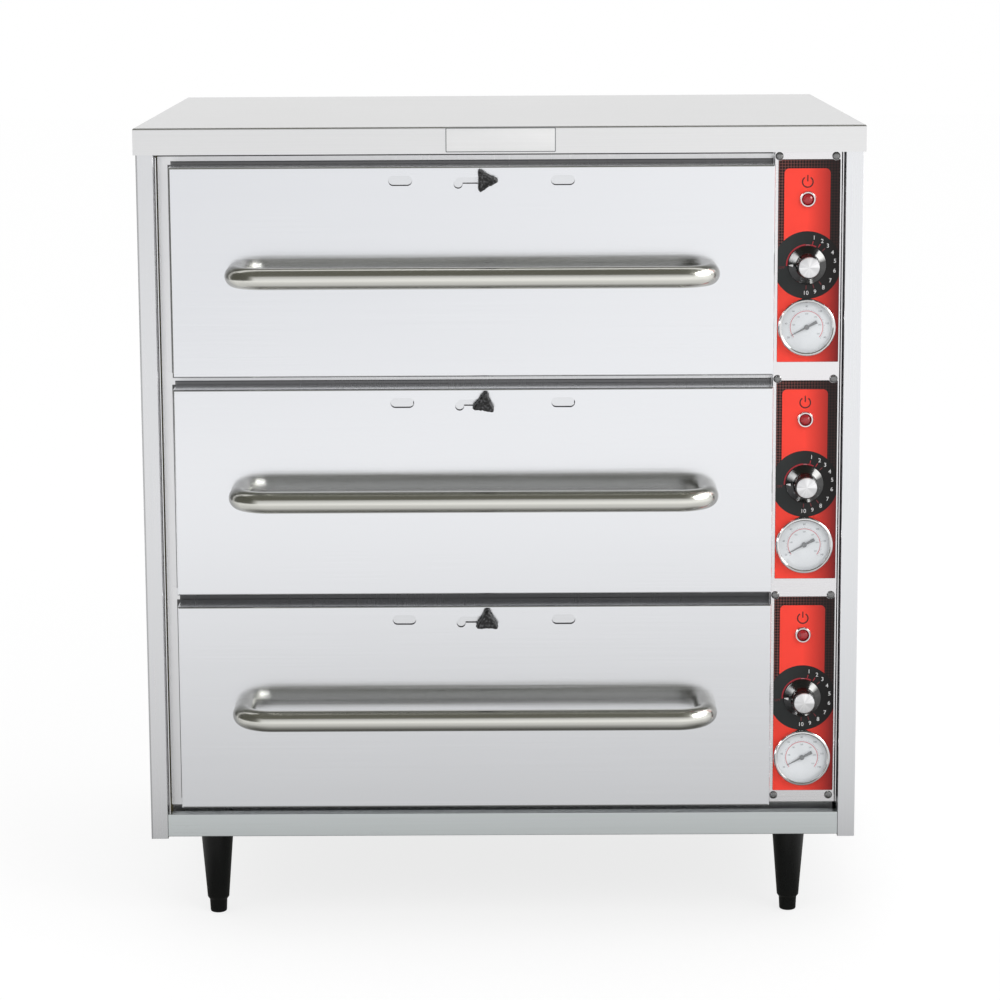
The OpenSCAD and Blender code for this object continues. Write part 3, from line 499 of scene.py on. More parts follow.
@dataclass(frozen=True)
class MineralWool(Finish):
    """Fibrous insulation."""

    def looks(self, board: Board) -> Looks:
        """Matted fibres."""
        fibres = board.cloud((900.0, 140.0, 900.0), 5.0)
        return {"Base_Color": board.blend(fibres, *self.shades(0.7, 1.15)), "Normal": board.bump(fibres, 0.8, 0.002)}


@dataclass(frozen=True)
class RoomBoard(Finish):
    """Unlit board, with a strength of its glow, that gives metal and gloss something of the room to mirror."""

    strength: float = 1.0

    def shader(self, board: Board) -> Node:
        """A glow in the board's colour, or in what it looks like."""
        return board.place("Emission", **({"Color": self.colour, "Strength": self.strength} | self.looks(board)))


@dataclass(frozen=True)
class GradedBoard(RoomBoard):
    """Board that turns from its colour to other ones along its axes.

    Attributes:
        steps: For each change the axis, where it starts and ends in metres, and the colour that it ends in.
    """

    steps: tuple[tuple[str, float, float, Colour], ...] = ()

    def looks(self, board: Board) -> Looks:
        """The glow, graded step by step.

        Args:
            board: The node tree.

        Returns:
            Values for the shader's sockets.
        """
        spot, glow = board.split(), self.colour
        for axis, start, end, colour in self.steps:
            glow = board.blend(board.spread(spot[axis], 0.0, 1.0, start, end), glow, colour)
        return {"Color": glow}


@dataclass(frozen=True)
class ShadedFloor(RoomBoard):
    """Floor that is dark close to the cabinet's footprint and white away from it.

    Attributes:
        half: Half the width and half the depth of the footprint, and a height that stays out of it.
        reach: Distances from the footprint at which the shade begins to fade, fades more slowly and has gone.
        first: Share of the shade that has gone where it begins to fade more slowly.
    """

    half: Triple = (0.33, 0.26, 1.0)
    reach: Triple = (0.05, 0.42, 2.3)
    first: float = 0.6

    def looks(self, board: Board) -> Looks:
        """The glow by the distance from the footprint.

        Args:
            board: The node tree.

        Returns:
            Values for the shader's sockets.
        """
        over = board.vector("SUBTRACT", board.vector("ABSOLUTE", board.coords()), self.half)
        away = board.vector("LENGTH", board.vector("MAXIMUM", over, (0.0, 0.0, 0.0))).outputs["Value"]
        near, turn, far = self.reach
        share = board.reckon("ADD", board.spread(away, 0.0, self.first, near, turn),
                             board.spread(away, 0.0, 1.0 - self.first, turn, far))
        return {"Color": board.blend(share, self.colour, WHITE)}


class Finishes:
    """All finishes of the cabinet and of the room round it."""

    OUTER = BrushedSteel("outer_steel", (0.81, 0.855, 0.86), 0.3)
    # Painted light: the top's flange, below its upper face, is lighter by a factor of 1.3
    TOP = BrushedSteel("top_steel", (0.65, 0.65, 0.652), 0.32, ("Z", 0.8597, 0.8585, 1.3))
    # Painted shade: the left sheet is a darker copy of the right one
    LEFT = LinedSteel("left_steel", (0.8, 0.805, 0.82), 0.3, None, Grain.UPRIGHT, streak=0.02, relief=0.012,
                      bands=((-0.3751, -0.3737, 0.102, 0.86, 0.4),))
    # Painted shade: the right sheet is darker by a factor of 0.78 behind its front face
    RIGHT = BrushedSteel("right_steel", (0.85, 0.86, 0.88), 0.3, ("Y", -0.2425, -0.2405, 0.78), Grain.UPRIGHT,
                         streak=0.02, relief=0.012)
    REAR = BrushedSteel("rear_steel", (0.62, 0.62, 0.625), 0.36, grain=Grain.UPRIGHT, streak=0.05)
    PLATE = BrushedSteel("plate_steel", (0.85, 0.84, 0.855), 0.26, streak=0.015, relief=0.02)
    FRONT = BrushedSteel("front_steel", (0.84, 0.85, 0.875), 0.17, streak=0.015)
    VENT = BrushedSteel("vent_steel", (0.79, 0.8, 0.82), 0.2, streak=0.015)
    PAN = BrushedSteel("pan_steel", (0.7, 0.7, 0.705), 0.22)
    NAMEPLATE = BrushedSteel("bare_plate", (0.85, 0.85, 0.85), 0.35, metallic=0.6)
    LINER = BrushedSteel("liner_steel", (0.6, 0.6, 0.6), 0.34, grain=Grain.FRONT_TO_BACK)
    SLIDE = BrushedSteel("slide_zinc", (0.56, 0.57, 0.56), 0.38, grain=Grain.FRONT_TO_BACK, streak=0.06)
    # Painted shade: a line under the top's flange, bands above the drawers, then lines beside their left edges, then a
    # line beside the right stile
    FRAME = LinedSteel("frame_steel", (0.86, 0.86, 0.87), 0.3, None, Grain.UPRIGHT, bands=(
        (-0.356, 0.284, 0.8291, 0.8315, 1.0),
        *((-0.3415, 0.284, *band) for band in (
            (0.8229, 0.8243, 1.0), (0.8185, 0.8229, 0.9), (0.593, 0.5942, 1.0), (0.588, 0.593, 0.88),
            (0.3575, 0.368, 1.0))),
        *((-0.3446, -0.338, *edges, 1.0) for edges in ((0.6025, 0.8205), (0.372, 0.59), (0.1415, 0.3595))),
        (0.3534, 0.3546, 0.1395, 0.838, 1.0)))
    # Painted shade: the tube is darker by a factor of 0.45 towards the drawer's face, behind its front bar
    TUBE = PolishedMetal("handle_tube", (0.78, 0.775, 0.725), 0.2, ("Y", -0.318, -0.302, 0.45))
    TRIM = PolishedMetal("bright_trim", (0.78, 0.78, 0.78), 0.14, grain=Grain.NONE)
    SCREW = PolishedMetal("screw_steel", (0.26, 0.26, 0.26), 0.22, grain=Grain.NONE)
    # Painted shade: dark edges of the drawers' slots
    EDGE_DARK = PolishedMetal("edge_dark", (0.12, 0.12, 0.13), 0.3, grain=Grain.NONE)
    PLATE_RIM = Moulded("plate_rim", tone(120, 122, 124), 0.4)
    LEG = Moulded("leg_black", tone(5, 7, 6), 0.26, coat=0.5, relief=0.01)
    KNOB = Moulded("knob_black", tone(12, 12, 12), 0.18, coat=1.0, relief=0.01)
    GLAND = Moulded("gland_black", tone(28, 28, 28), 0.55)
    IVORY = Moulded("block_ivory", tone(222, 216, 190), 0.5)
    PHENOLIC = Moulded("thermostat_brown", tone(92, 62, 40), 0.5)
    LEADS = Moulded("lead_red", tone(130, 30, 26), 0.5)
    SHEATH = Moulded("element_sheath", tone(74, 70, 66), 0.55, relief=0.2)
    INK_WHITE = Moulded("ink_white", tone(226, 226, 226), 0.5)
    INK_RED = Moulded("ink_red", tone(170, 24, 40), 0.5)
    INK_DIM_RED = Moulded("ink_dim_red", tone(112, 30, 36), 0.5)
    INK_DARK = Moulded("ink_dark", tone(52, 10, 10), 0.5)
    INK_PINK = Moulded("ink_pink", tone(204, 112, 120), 0.6)
    INK_GREY = Moulded("ink_grey", tone(120, 124, 130), 0.6)
    FACE = Moulded("dial_white", tone(226, 229, 232), 0.5)
    NEEDLE = Moulded("needle_grey", tone(124, 126, 128), 0.4)
    THUMB = Marbled("thumb_black", tone(12, 12, 13), 0.5, fleck=tone(92, 92, 95))
    # Painted shade: the film's lighter squares, the red field and the disc darken towards the plate's right edge
    FILM = WovenPrint("film_black", tone(24, 15, 15), 0.4, other=tone(104, 60, 56), left=0.296, right=0.345,
                      gloss=0.15)
    RED = GradedPrint("film_red", tone(255, 66, 50), 0.4, other=tone(112, 8, 12))
    DISC = GradedPrint("disc_charcoal", tone(42, 45, 45), 0.5, other=tone(12, 6, 6), left=0.3, right=0.35)
    LENS = LampLens("lamp_lens", tone(170, 20, 30), 0.2)
    GLASS = ClearGlass("clear_glass", (0.9, 0.93, 0.93), 0.03)
    WOOL = MineralWool("mineral_wool", tone(214, 204, 160), 0.9)
    WALL = GradedBoard("room_wall", (0.86, 0.865, 0.875),
                       steps=(("X", -0.9, 0.9, (1.03, 1.03, 1.03)), ("Z", 0.8, 2.5, (0.56, 0.56, 0.56))))
    LEFT_WALL = GradedBoard("room_left_wall", (0.1, 0.1, 0.085), steps=(("Y", -2.4, -4.2, (0.6, 0.6, 0.58)),))
    CEILING = RoomBoard("room_ceiling", (0.13, 0.13, 0.11))
    WINDOW = GradedBoard("room_window", (1.0, 1.0, 0.98), strength=11.0,
                         steps=(("Y", -1.65, -2.25, BLACK), ("Y", -0.5, 0.5, BLACK),
                                ("Z", 1.7, 0.9, BLACK), ("Z", 3.2, 3.9, BLACK)))
    SHADE = ShadedFloor("floor_shade", (0.1, 0.1, 0.095))


def dress_nodes(**finishes: Finish) -> None:
    """Gives nodes of the frame their finishes.

    Args:
        **finishes: The finishes by the nodes' names.
    """
    for name, finish in finishes.items():
        materials = frame["nodes"][name].data.materials
        materials.clear()
        materials.append(finish.material())
        log.info("%s: %s", name, finish.name)


def axis_of(joint_name: str) -> Pair:
    """x and z of a joint's axis."""
    joint = next(j for j in frame["joints"] if j["name"] == joint_name)
    return joint["pos_m"][0], joint["pos_m"][2]


def put(name: str, data: bpy.types.ID) -> bpy.types.Object:
    """Puts an object into the scene.

    Args:
        name: The object's name.
        data: Its mesh, lamp or camera.

    Returns:
        The new object.
    """
    item = bpy.data.objects.new(name, data)
    bpy.context.scene.collection.objects.link(item)
    return item


def put_mesh(name: str, mesh: Mesh, material: bpy.types.Material) -> bpy.types.Object:
    """Puts a mesh, which is used up, into the scene.

    Args:
        name: The object's name.
        mesh: The mesh, in metres in the frame.
        material: Its material.

    Returns:
        The new object.
    """
    data = bpy.data.meshes.new(name)
    mesh.to_mesh(data)
    mesh.free()
    data.materials.append(material)
    return put(name, data)


def add_piece(name: str, mesh: Mesh, finish: Finish, body: str = "cabinet", sharp: float = 35.0) -> bpy.types.Object:
    """Makes a piece of a mesh, shades it and lets it ride.

    Args:
        name: The piece's name.
        mesh: The mesh, in metres in the frame; it is used up.
        finish: The piece's finish.
        body: The body that it moves with.
        sharp: Edges steeper than this angle stay sharp.

    Returns:
        The new object.
    """
    bmesh.ops.recalc_face_normals(mesh, faces=mesh.faces)
    piece = put_mesh(name, mesh, finish.material())
    for face in piece.data.polygons:
        face.use_smooth = True
    piece.data.set_sharp_from_angle(angle=math.radians(sharp))
    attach(piece, body)
    log.info("%s: %d faces on %s", name, len(piece.data.polygons), body)
    return piece


def circle(steps: int) -> list[float]:
    """The angles of even steps round a circle, in radians."""
    return [math.tau * index / steps for index in range(steps)]


def skin(rings: Sequence[Sequence[Vector]], caps: bool = False) -> Mesh:
    """Joins rings of points to a surface.

    Args:
        rings: Rings with the same number of points, or with one point where the surface comes to a tip.
        caps: Whether the first and the last ring get a face.

    Returns:
        The surface.
    """
    mesh = bmesh.new()
    rows = [[mesh.verts.new(spot) for spot in ring] for ring in rings]
    for lower, upper in zip(rows, rows[1:]):
        steps = max(len(lower), len(upper))
        for index in range(steps):
            after = (index + 1) % steps
            corners = (lower[index % len(lower)], lower[after % len(lower)],
                       upper[after % len(upper)], upper[index % len(upper)])
            mesh.faces.new(list(dict.fromkeys(corners)))
    if caps:
        mesh.faces.new(rows[0])
        mesh.faces.new(rows[-1])
    return mesh


def lathe(profile: Sequence[Pair], centre: Vector, steps: int = 96) -> Mesh:
    """Turns a profile, radius and height in millimetres, round an axis that runs from its centre to the front."""
    return skin([[centre + Vector((radius * math.cos(turn), -height, radius * math.sin(turn))) * MM
                  for turn in circle(steps if radius else 1)] for radius, height in profile])


def tube(path: Sequence[Vector], radius: float, steps: int = 32) -> Mesh:
    """Sweeps a round section along a path.

    Args:
        path: Points of the middle line.
        radius: Radius of the section.
        steps: Faces round the section.

    Returns:
        The tube, open at its ends.
    """
    rings = []
    for index, spot in enumerate(path):
        along = (path[min(len(path) - 1, index + 1)] - path[max(0, index - 1)]).normalized()
        across = along.cross(UP).normalized()
        rings.append([spot + (across * math.cos(turn) + UP * math.sin(turn)) * radius for turn in circle(steps)])
    return skin(rings)


def slab(outline: Sequence[Pair], front: float, depth: float, soften: float = 0.0) -> Mesh:
    """A flat piece that faces the front.

    Args:
        outline: Corners in x and z, in order.
        front: y of the front face.
        depth: Thickness.
        soften: Width of the bevel round the front edge.

    Returns:
        The closed slab.
    """
    mesh = bmesh.new()
    face = mesh.faces.new([mesh.verts.new((x, front, z)) for x, z in outline])
    back = bmesh.ops.extrude_face_region(mesh, geom=[face])["geom"]
    moved = [item for item in back if isinstance(item, bmesh.types.BMVert)]
    bmesh.ops.translate(mesh, verts=moved, vec=(0.0, depth, 0.0))
    if soften > 0.0:
        rim = [edge for edge in mesh.edges if all(abs(v.co.y - front) < 1e-7 for v in edge.verts)]
        bmesh.ops.bevel(mesh, geom=rim, offset=soften, segments=2, affect="EDGES", profile=0.6)
    return mesh


def merge(parts: Sequence[Mesh]) -> Mesh:
    """Puts several meshes into the first one.

    Args:
        parts: The meshes; all but the first are used up.

    Returns:
        The first mesh with the others in it.
    """
    whole = parts[0]
    for part in parts[1:]:
        data = bpy.data.meshes.new("merge")
        part.to_mesh(data)
        part.free()
        whole.from_mesh(data)
        bpy.data.meshes.remove(data)
    return whole


def box_mesh(low: Sequence[float], high: Sequence[float], soften: float = 0.0) -> Mesh:
    """A box between two corners.

    Args:
        low: Lowest corner.
        high: Highest corner.
        soften: Width of the bevel on its edges.

    Returns:
        The box.
    """
    mesh = bmesh.new()
    bmesh.ops.create_cube(mesh, size=1.0)
    for vert in mesh.verts:
        vert.co = [start + (part + 0.5) * (end - start) for start, end, part in zip(low, high, vert.co)]
    if soften > 0.0:
        bmesh.ops.bevel(mesh, geom=list(mesh.edges), offset=soften, segments=2, affect="EDGES")
    return mesh


def lettering(words: str, height: float, centre: Pair, front: float, depth: float) -> Mesh:
    """Figures that lie flat on a panel and face the front.

    Args:
        words: What is written.
        height: Height of a figure.
        centre: Middle of the words, x and z.
        front: y of the front of the ink.
        depth: Thickness of the ink.

    Returns:
        The figures.
    """
    curve = bpy.data.curves.new("words", "FONT")
    curve.body = words
    curve.size = height / 0.7
    curve.align_x = "CENTER"
    curve.align_y = "CENTER"
    curve.extrude = depth / 2
    curve.resolution_u = 3
    holder = bpy.data.objects.new("words", curve)
    data = bpy.data.meshes.new_from_object(holder)
    mesh = bmesh.new()
    mesh.from_mesh(data)
    bpy.data.objects.remove(holder)
    bpy.data.curves.remove(curve)
    bpy.data.meshes.remove(data)
    turn = Matrix.Translation((centre[0], front + depth / 2, centre[1])) @ Matrix.Rotation(math.pi / 2, 4, "X")
    bmesh.ops.transform(mesh, matrix=turn, verts=mesh.verts)
    return mesh


def arc(centre: Pair, radius: float, start: float, end: float, steps: int) -> list[Pair]:
    """Points in x and z on an arc between two angles, which run clockwise from the top, in so many stretches."""
    turns = [math.radians(start + (end - start) * index / steps) for index in range(steps + 1)]
    return [(centre[0] + radius * math.sin(turn), centre[1] + radius * math.cos(turn)) for turn in turns]


def on_clock(centre: Pair, radius: float, angle: float) -> Pair:
    """The point at one clock angle of such an arc."""
    return arc(centre, radius, angle, angle, 1)[0]


def band(centre: Pair, inner: float, outer: float, start: float, end: float, steps: int = 48) -> list[Pair]:
    """Outline of a curved band between two radii and two clock angles, in so many stretches."""
    return arc(centre, outer, start, end, steps) + arc(centre, inner, end, start, steps)


def soft_corners(low: Pair, high: Pair, radii: Sequence[float], steps: int = 6) -> list[Pair]:
    """A rectangle's outline with round corners.

    Args:
        low: Lower left corner.
        high: Upper right corner.
        radii: Radius of the upper right, lower right, lower left and upper left corner.
        steps: Stretches round a corner.

    Returns:
        The outline, clockwise.
    """
    spots = ((high[0], high[1], -1, -1, 0), (high[0], low[1], -1, 1, 90), (low[0], low[1], 1, 1, 180),
             (low[0], high[1], 1, -1, 270))
    outline: list[Pair] = []
    for (x, z, left, down, start), radius in zip(spots, radii):
        if radius <= 0.0:
            outline.append((x, z))
        else:
            outline += arc((x + left * radius, z + down * radius), radius, start, start + 90, steps)
    return outline


@dataclass
class Shell:
    """The outer sheets of the cabinet and what is on them.

    Attributes:
        plate_size: Width and height of the bare plate on the top's flange.
        plate_middle: x of its middle.
        plate_drop: Its upper edge below the top.
        plate_depth: How far it stands out.
        plate_layers: Piece, inset, corner radius, lift, depth and bevel in metres, and finish of its rim and its face.
        screw_rows: Distance of the rear screws' lower and upper row from the rear panel's edges.
        screw_insets: Distances of the screws in these rows from its sides.
        screw_columns: Distance of the other screws from its sides.
        screw_levels: Shares of its height at which those are.
        screw_head: Profile of a rear screw's head, as (radius, height to the front) in millimetres.
        screw_cross: Half the length and half the width of its slots, in millimetres.
        cross_rise: Heights between which the cross stands on the head.
    """

    plate_size: Pair = (0.1135, 0.0252)
    plate_middle: float = 0.0014
    plate_drop: float = 0.0012
    plate_depth: float = 0.0012
    plate_layers: tuple[tuple[str, float, float, float, float, float, Finish], ...] = (
        ("flange_plate", 0.0, 0.0012, 0.0, 0.0012, 0.0003, Finishes.PLATE_RIM),
        ("flange_plate_face", 0.0009, 0.0008, 0.0002, 0.0004, 0.00015, Finishes.NAMEPLATE))
    screw_rows: Pair = (0.012, 0.02)
    screw_insets: Pair = (0.05, 0.26)
    screw_columns: float = 0.01
    screw_levels: Pair = (0.33, 0.67)
    screw_head: tuple[Pair, ...] = ((0.0, -2.2), (2.2, -2.0), (3.4, -1.3), (4.0, -0.2), (4.0, 0.0))
    screw_cross: Pair = (2.4, 0.35)
    cross_rise: Pair = (0.0018, 0.0024)

    def build(self) -> None:
        """Dresses the sheets and adds the plate and the rear screws."""
        dress_nodes(top_panel=Finishes.TOP, left_side_panel=Finishes.LEFT, right_side_panel=Finishes.RIGHT,
                    rear_panel=Finishes.REAR, base_pan=Finishes.OUTER, cord_gland=Finishes.GLAND)
        self.add_plate()
        self.add_rear_screws()

    def add_plate(self) -> None:
        """The bare plate in the middle of the flange, with a raised rim."""
        low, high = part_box("top_panel")
        front, top = low.y - self.plate_depth, high.z - self.plate_drop
        wide, tall = self.plate_size
        for name, inset, corner, lift, depth, soften, finish in self.plate_layers:
            outline = soft_corners((self.plate_middle - wide / 2 + inset, top - tall + inset),
                                   (self.plate_middle + wide / 2 - inset, top - inset), (corner,) * 4)
            add_piece(name, slab(outline, front - lift, depth, soften), finish)

    def add_rear_screws(self) -> None:
        """Cross-head screws along the rear panel's edges."""
        low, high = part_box("rear_panel")
        (lower, upper), (outer, inner), side = self.screw_rows, self.screw_insets, self.screw_columns
        spots = [(x, z) for z in (low.z + lower, high.z - upper)
                 for x in (low.x + outer, low.x + inner, high.x - inner, high.x - outer)]
        spots += [(x, low.z + (high.z - low.z) * part)
                  for x in (low.x + side, high.x - side) for part in self.screw_levels]
        heads = []
        for x, z in spots:
            heads.append(lathe(self.screw_head, Vector((x, high.y, z)), 32))
            for wide, tall in (self.screw_cross, self.screw_cross[::-1]):
                heads.append(box_mesh((x - wide * MM, high.y + self.cross_rise[0], z - tall * MM),
                                      (x + wide * MM, high.y + self.cross_rise[1], z + tall * MM)))
        add_piece("rear_screws", merge(heads), Finishes.SCREW)


@dataclass
class FaceFrame:
    """The frame behind the drawers, with the cavities and what heats them."""

    def build(self) -> None:
        """Dresses the frame, the liners, the slides and the hidden parts."""
        dress_nodes(inner_frame=Finishes.FRAME, cavity_liners=Finishes.LINER, insulation=Finishes.WOOL,
                    heating_elements=Finishes.SHEATH, fixed_slides=Finishes.SLIDE,
                    **{f"mid_slides_{n}": Finishes.SLIDE for n in DRAWERS},
                    terminal_block=Finishes.IVORY, wiring=Finishes.LEADS, thermostats=Finishes.PHENOLIC)


@dataclass
class Drawer:
    """One drawer with its handle, vents and pan.

    Attributes:
        number: 1 for the top drawer.
        thumb_turn: How far the thumb knob is turned, counterclockwise from apex up.
        tube_radius: Radius of the handle's tube.
        tube_end: Straight part of the tube at the drawer's face.
        bend_radius: Radius of the handle's bends at the tube's middle.
        vent_size: Width and height of a vent slot.
        vent_pitch: Distance between the two vent slots.
        vent_shift: Their middle to the right of the drawer's middle.
        vent_travel: Travel of the vent slide.
        stud_shift: Closed stud's place to the right of the drawer's middle.
        stud_slot: Height of the slot that the stud runs in.
        slot_end: How far that slot's edge runs on past the stud.
        keyhole: Radius of the keyhole at the end of that slot.
        keyhole_shift: Its middle from the open stud's, x and z.
        bead: Radius of the slots' rounded edges.
        bead_inset: Their middle behind the drawer's face.
        knob_layers: For each ring of the thumb knob its share of the depth and of the full outline.
        knob_arm: Distance of a lobe's middle from the thumb knob's axis, in millimetres.
        knob_lobe: Radius of a lobe, in millimetres.
        knob_dip: Depth of the hollow in the middle of a flank, in millimetres.
    """

    number: int
    thumb_turn: float
    tube_radius: float = 0.0111
    tube_end: float = 0.004
    bend_radius: float = 0.033
    vent_size: Pair = (0.0245, 0.01)
    vent_pitch: float = 0.167
    vent_shift: float = 0.01
    vent_travel: float = 0.026
    stud_shift: float = 0.014
    stud_slot: float = 0.0062
    slot_end: float = 0.0004
    keyhole: float = 0.0046
    keyhole_shift: Pair = (-0.002, -0.0035)
    bead: float = 0.00055
    bead_inset: float = 0.0003
    knob_layers: tuple[Pair, ...] = (
        (0.0, 0.58), (0.06, 0.62), (0.12, 0.66), (0.16, 0.93), (0.22, 0.99), (0.34, 1.0), (0.46, 1.0), (0.58, 0.99),
        (0.7, 0.98), (0.8, 0.97), (0.88, 0.95), (0.94, 0.9), (0.98, 0.82), (0.99, 0.7), (0.96, 0.55), (0.93, 0.2))
    knob_arm: float = 10.3
    knob_lobe: float = 2.3
    knob_dip: float = 0.7

    def build(self) -> None:
        """Dresses the drawer and builds its handle, thumb knob and slot edges."""
        n = self.number
        dress_nodes(**{f"drawer_front_{n}": Finishes.FRONT, f"drawer_liner_{n}": Finishes.LINER,
                       f"drawer_frame_{n}": Finishes.LINER, f"food_pan_{n}": Finishes.PAN,
                       f"vent_slide_{n}": Finishes.VENT})
        self.add_handle()
        self.add_thumb_knob()
        self.add_slot_edges()

    def add_handle(self) -> None:
        """The bent tube, which meets the drawer's face at both ends."""
        n, bend = self.number, self.bend_radius
        low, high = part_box(f"handle_{n}")
        level, bar = (low.z + high.z) / 2, low.y + self.tube_radius
        left, right = low.x + self.tube_radius, high.x - self.tube_radius
        turns = [math.radians(90.0 * index / 24) for index in range(25)]
        half = [(left, high.y), (left, high.y - self.tube_end)]
        half += [(left + bend * (1 - math.cos(turn)), bar + bend * (1 - math.sin(turn))) for turn in turns]
        middle = [(left + bend + (right - left - 2 * bend) * index / 8, bar) for index in range(1, 8)]
        line = half + middle + [(left + right - x, y) for x, y in reversed(half)]
        path = [Vector((x, y, level)) for x, y in line]
        piece = add_piece(f"handle_tube_{n}", tube(path, self.tube_radius, 64), Finishes.TUBE, f"drawer_{n}")
        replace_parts(piece, f"handle_{n}")

    def knob_reach(self, turn: float, depth: float) -> float:
        """Distance from the thumb knob's axis to its rough outline.

        Args:
            turn: Angle from a lobe's tip, in radians.
            depth: Share of the knob's depth.

        Returns:
            The distance at full size, in millimetres.
        """
        arm, lobe = self.knob_arm, self.knob_lobe
        flank = arm / 2 + lobe
        meet = math.degrees(math.atan2(arm * math.sin(math.pi / 3), flank))
        aside = abs(math.degrees(turn) % 120.0 - 60.0)
        if aside < meet:
            hull = flank / math.cos(math.radians(aside)) - self.knob_dip * (1.0 - (aside / meet) ** 2)
        else:
            tip = math.radians(60.0 - aside)
            hull = arm * math.cos(tip) + math.sqrt(lobe ** 2 - (arm * math.sin(tip)) ** 2)
        x, z, n = math.cos(turn), math.sin(turn), self.number
        return (hull + 0.8 * noise.noise(Vector((x * 2.4, z * 2.4, depth * 1.2 + 7 * n)))
                + noise.noise(Vector((x * 8.0, z * 8.0, depth * 3.0 + 3 * n))))

    def add_thumb_knob(self) -> None:
        """A three-lobed knob of rough black plastic with hollow flanks."""
        n = self.number
        low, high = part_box(f"vent_knob_{n}")
        x, z = axis_of(f"vent_knob_{n}_turn")
        apex = math.radians(90.0 + self.thumb_turn)
        rings = []
        for depth, size in self.knob_layers:
            y = high.y - (high.y - low.y) * depth
            reaches = [(turn + apex, self.knob_reach(turn, depth) * size * MM) for turn in circle(120)]
            rings.append([Vector((x + reach * math.cos(spin), y, z + reach * math.sin(spin)))
                          for spin, reach in reaches])
        piece = add_piece(f"thumb_knob_{n}", skin(rings, caps=True), Finishes.THUMB, f"thumb_{n}", sharp=60.0)
        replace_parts(piece, f"vent_knob_{n}")

    def add_slot_edges(self) -> None:
        """Turned-in lower edges of the vent slots and of the stud's slot, darkened with painted shade."""
        n = self.number
        low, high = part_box(f"drawer_front_{n}")
        slide_low, slide_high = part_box(f"vent_slide_{n}")
        centre, level = (low.x + high.x) / 2, (slide_low.z + slide_high.z) / 2
        radius = self.vent_size[1] / 2
        reach = self.vent_size[0] / 2 - radius
        paths = []
        for x in (centre + self.vent_shift + side * self.vent_pitch / 2 for side in (-1, 1)):
            paths.append(arc((x - reach, level), radius, 270, 180, 10) + arc((x + reach, level), radius, 180, 90, 10))
        stud, floor = centre + self.stud_shift, level - self.stud_slot / 2
        hole = (stud - self.vent_travel + self.keyhole_shift[0], level + self.keyhole_shift[1])
        paths.append(arc(hole, self.keyhole, 280, 95, 20))
        paths.append([(hole[0] + self.keyhole, floor), (stud + self.slot_end, floor)])
        beads = [tube([Vector((x, low.y + self.bead_inset, z)) for x, z in path], self.bead, 8) for path in paths]
        add_piece(f"slot_edges_{n}", merge(beads), Finishes.EDGE_DARK, f"drawer_{n}")


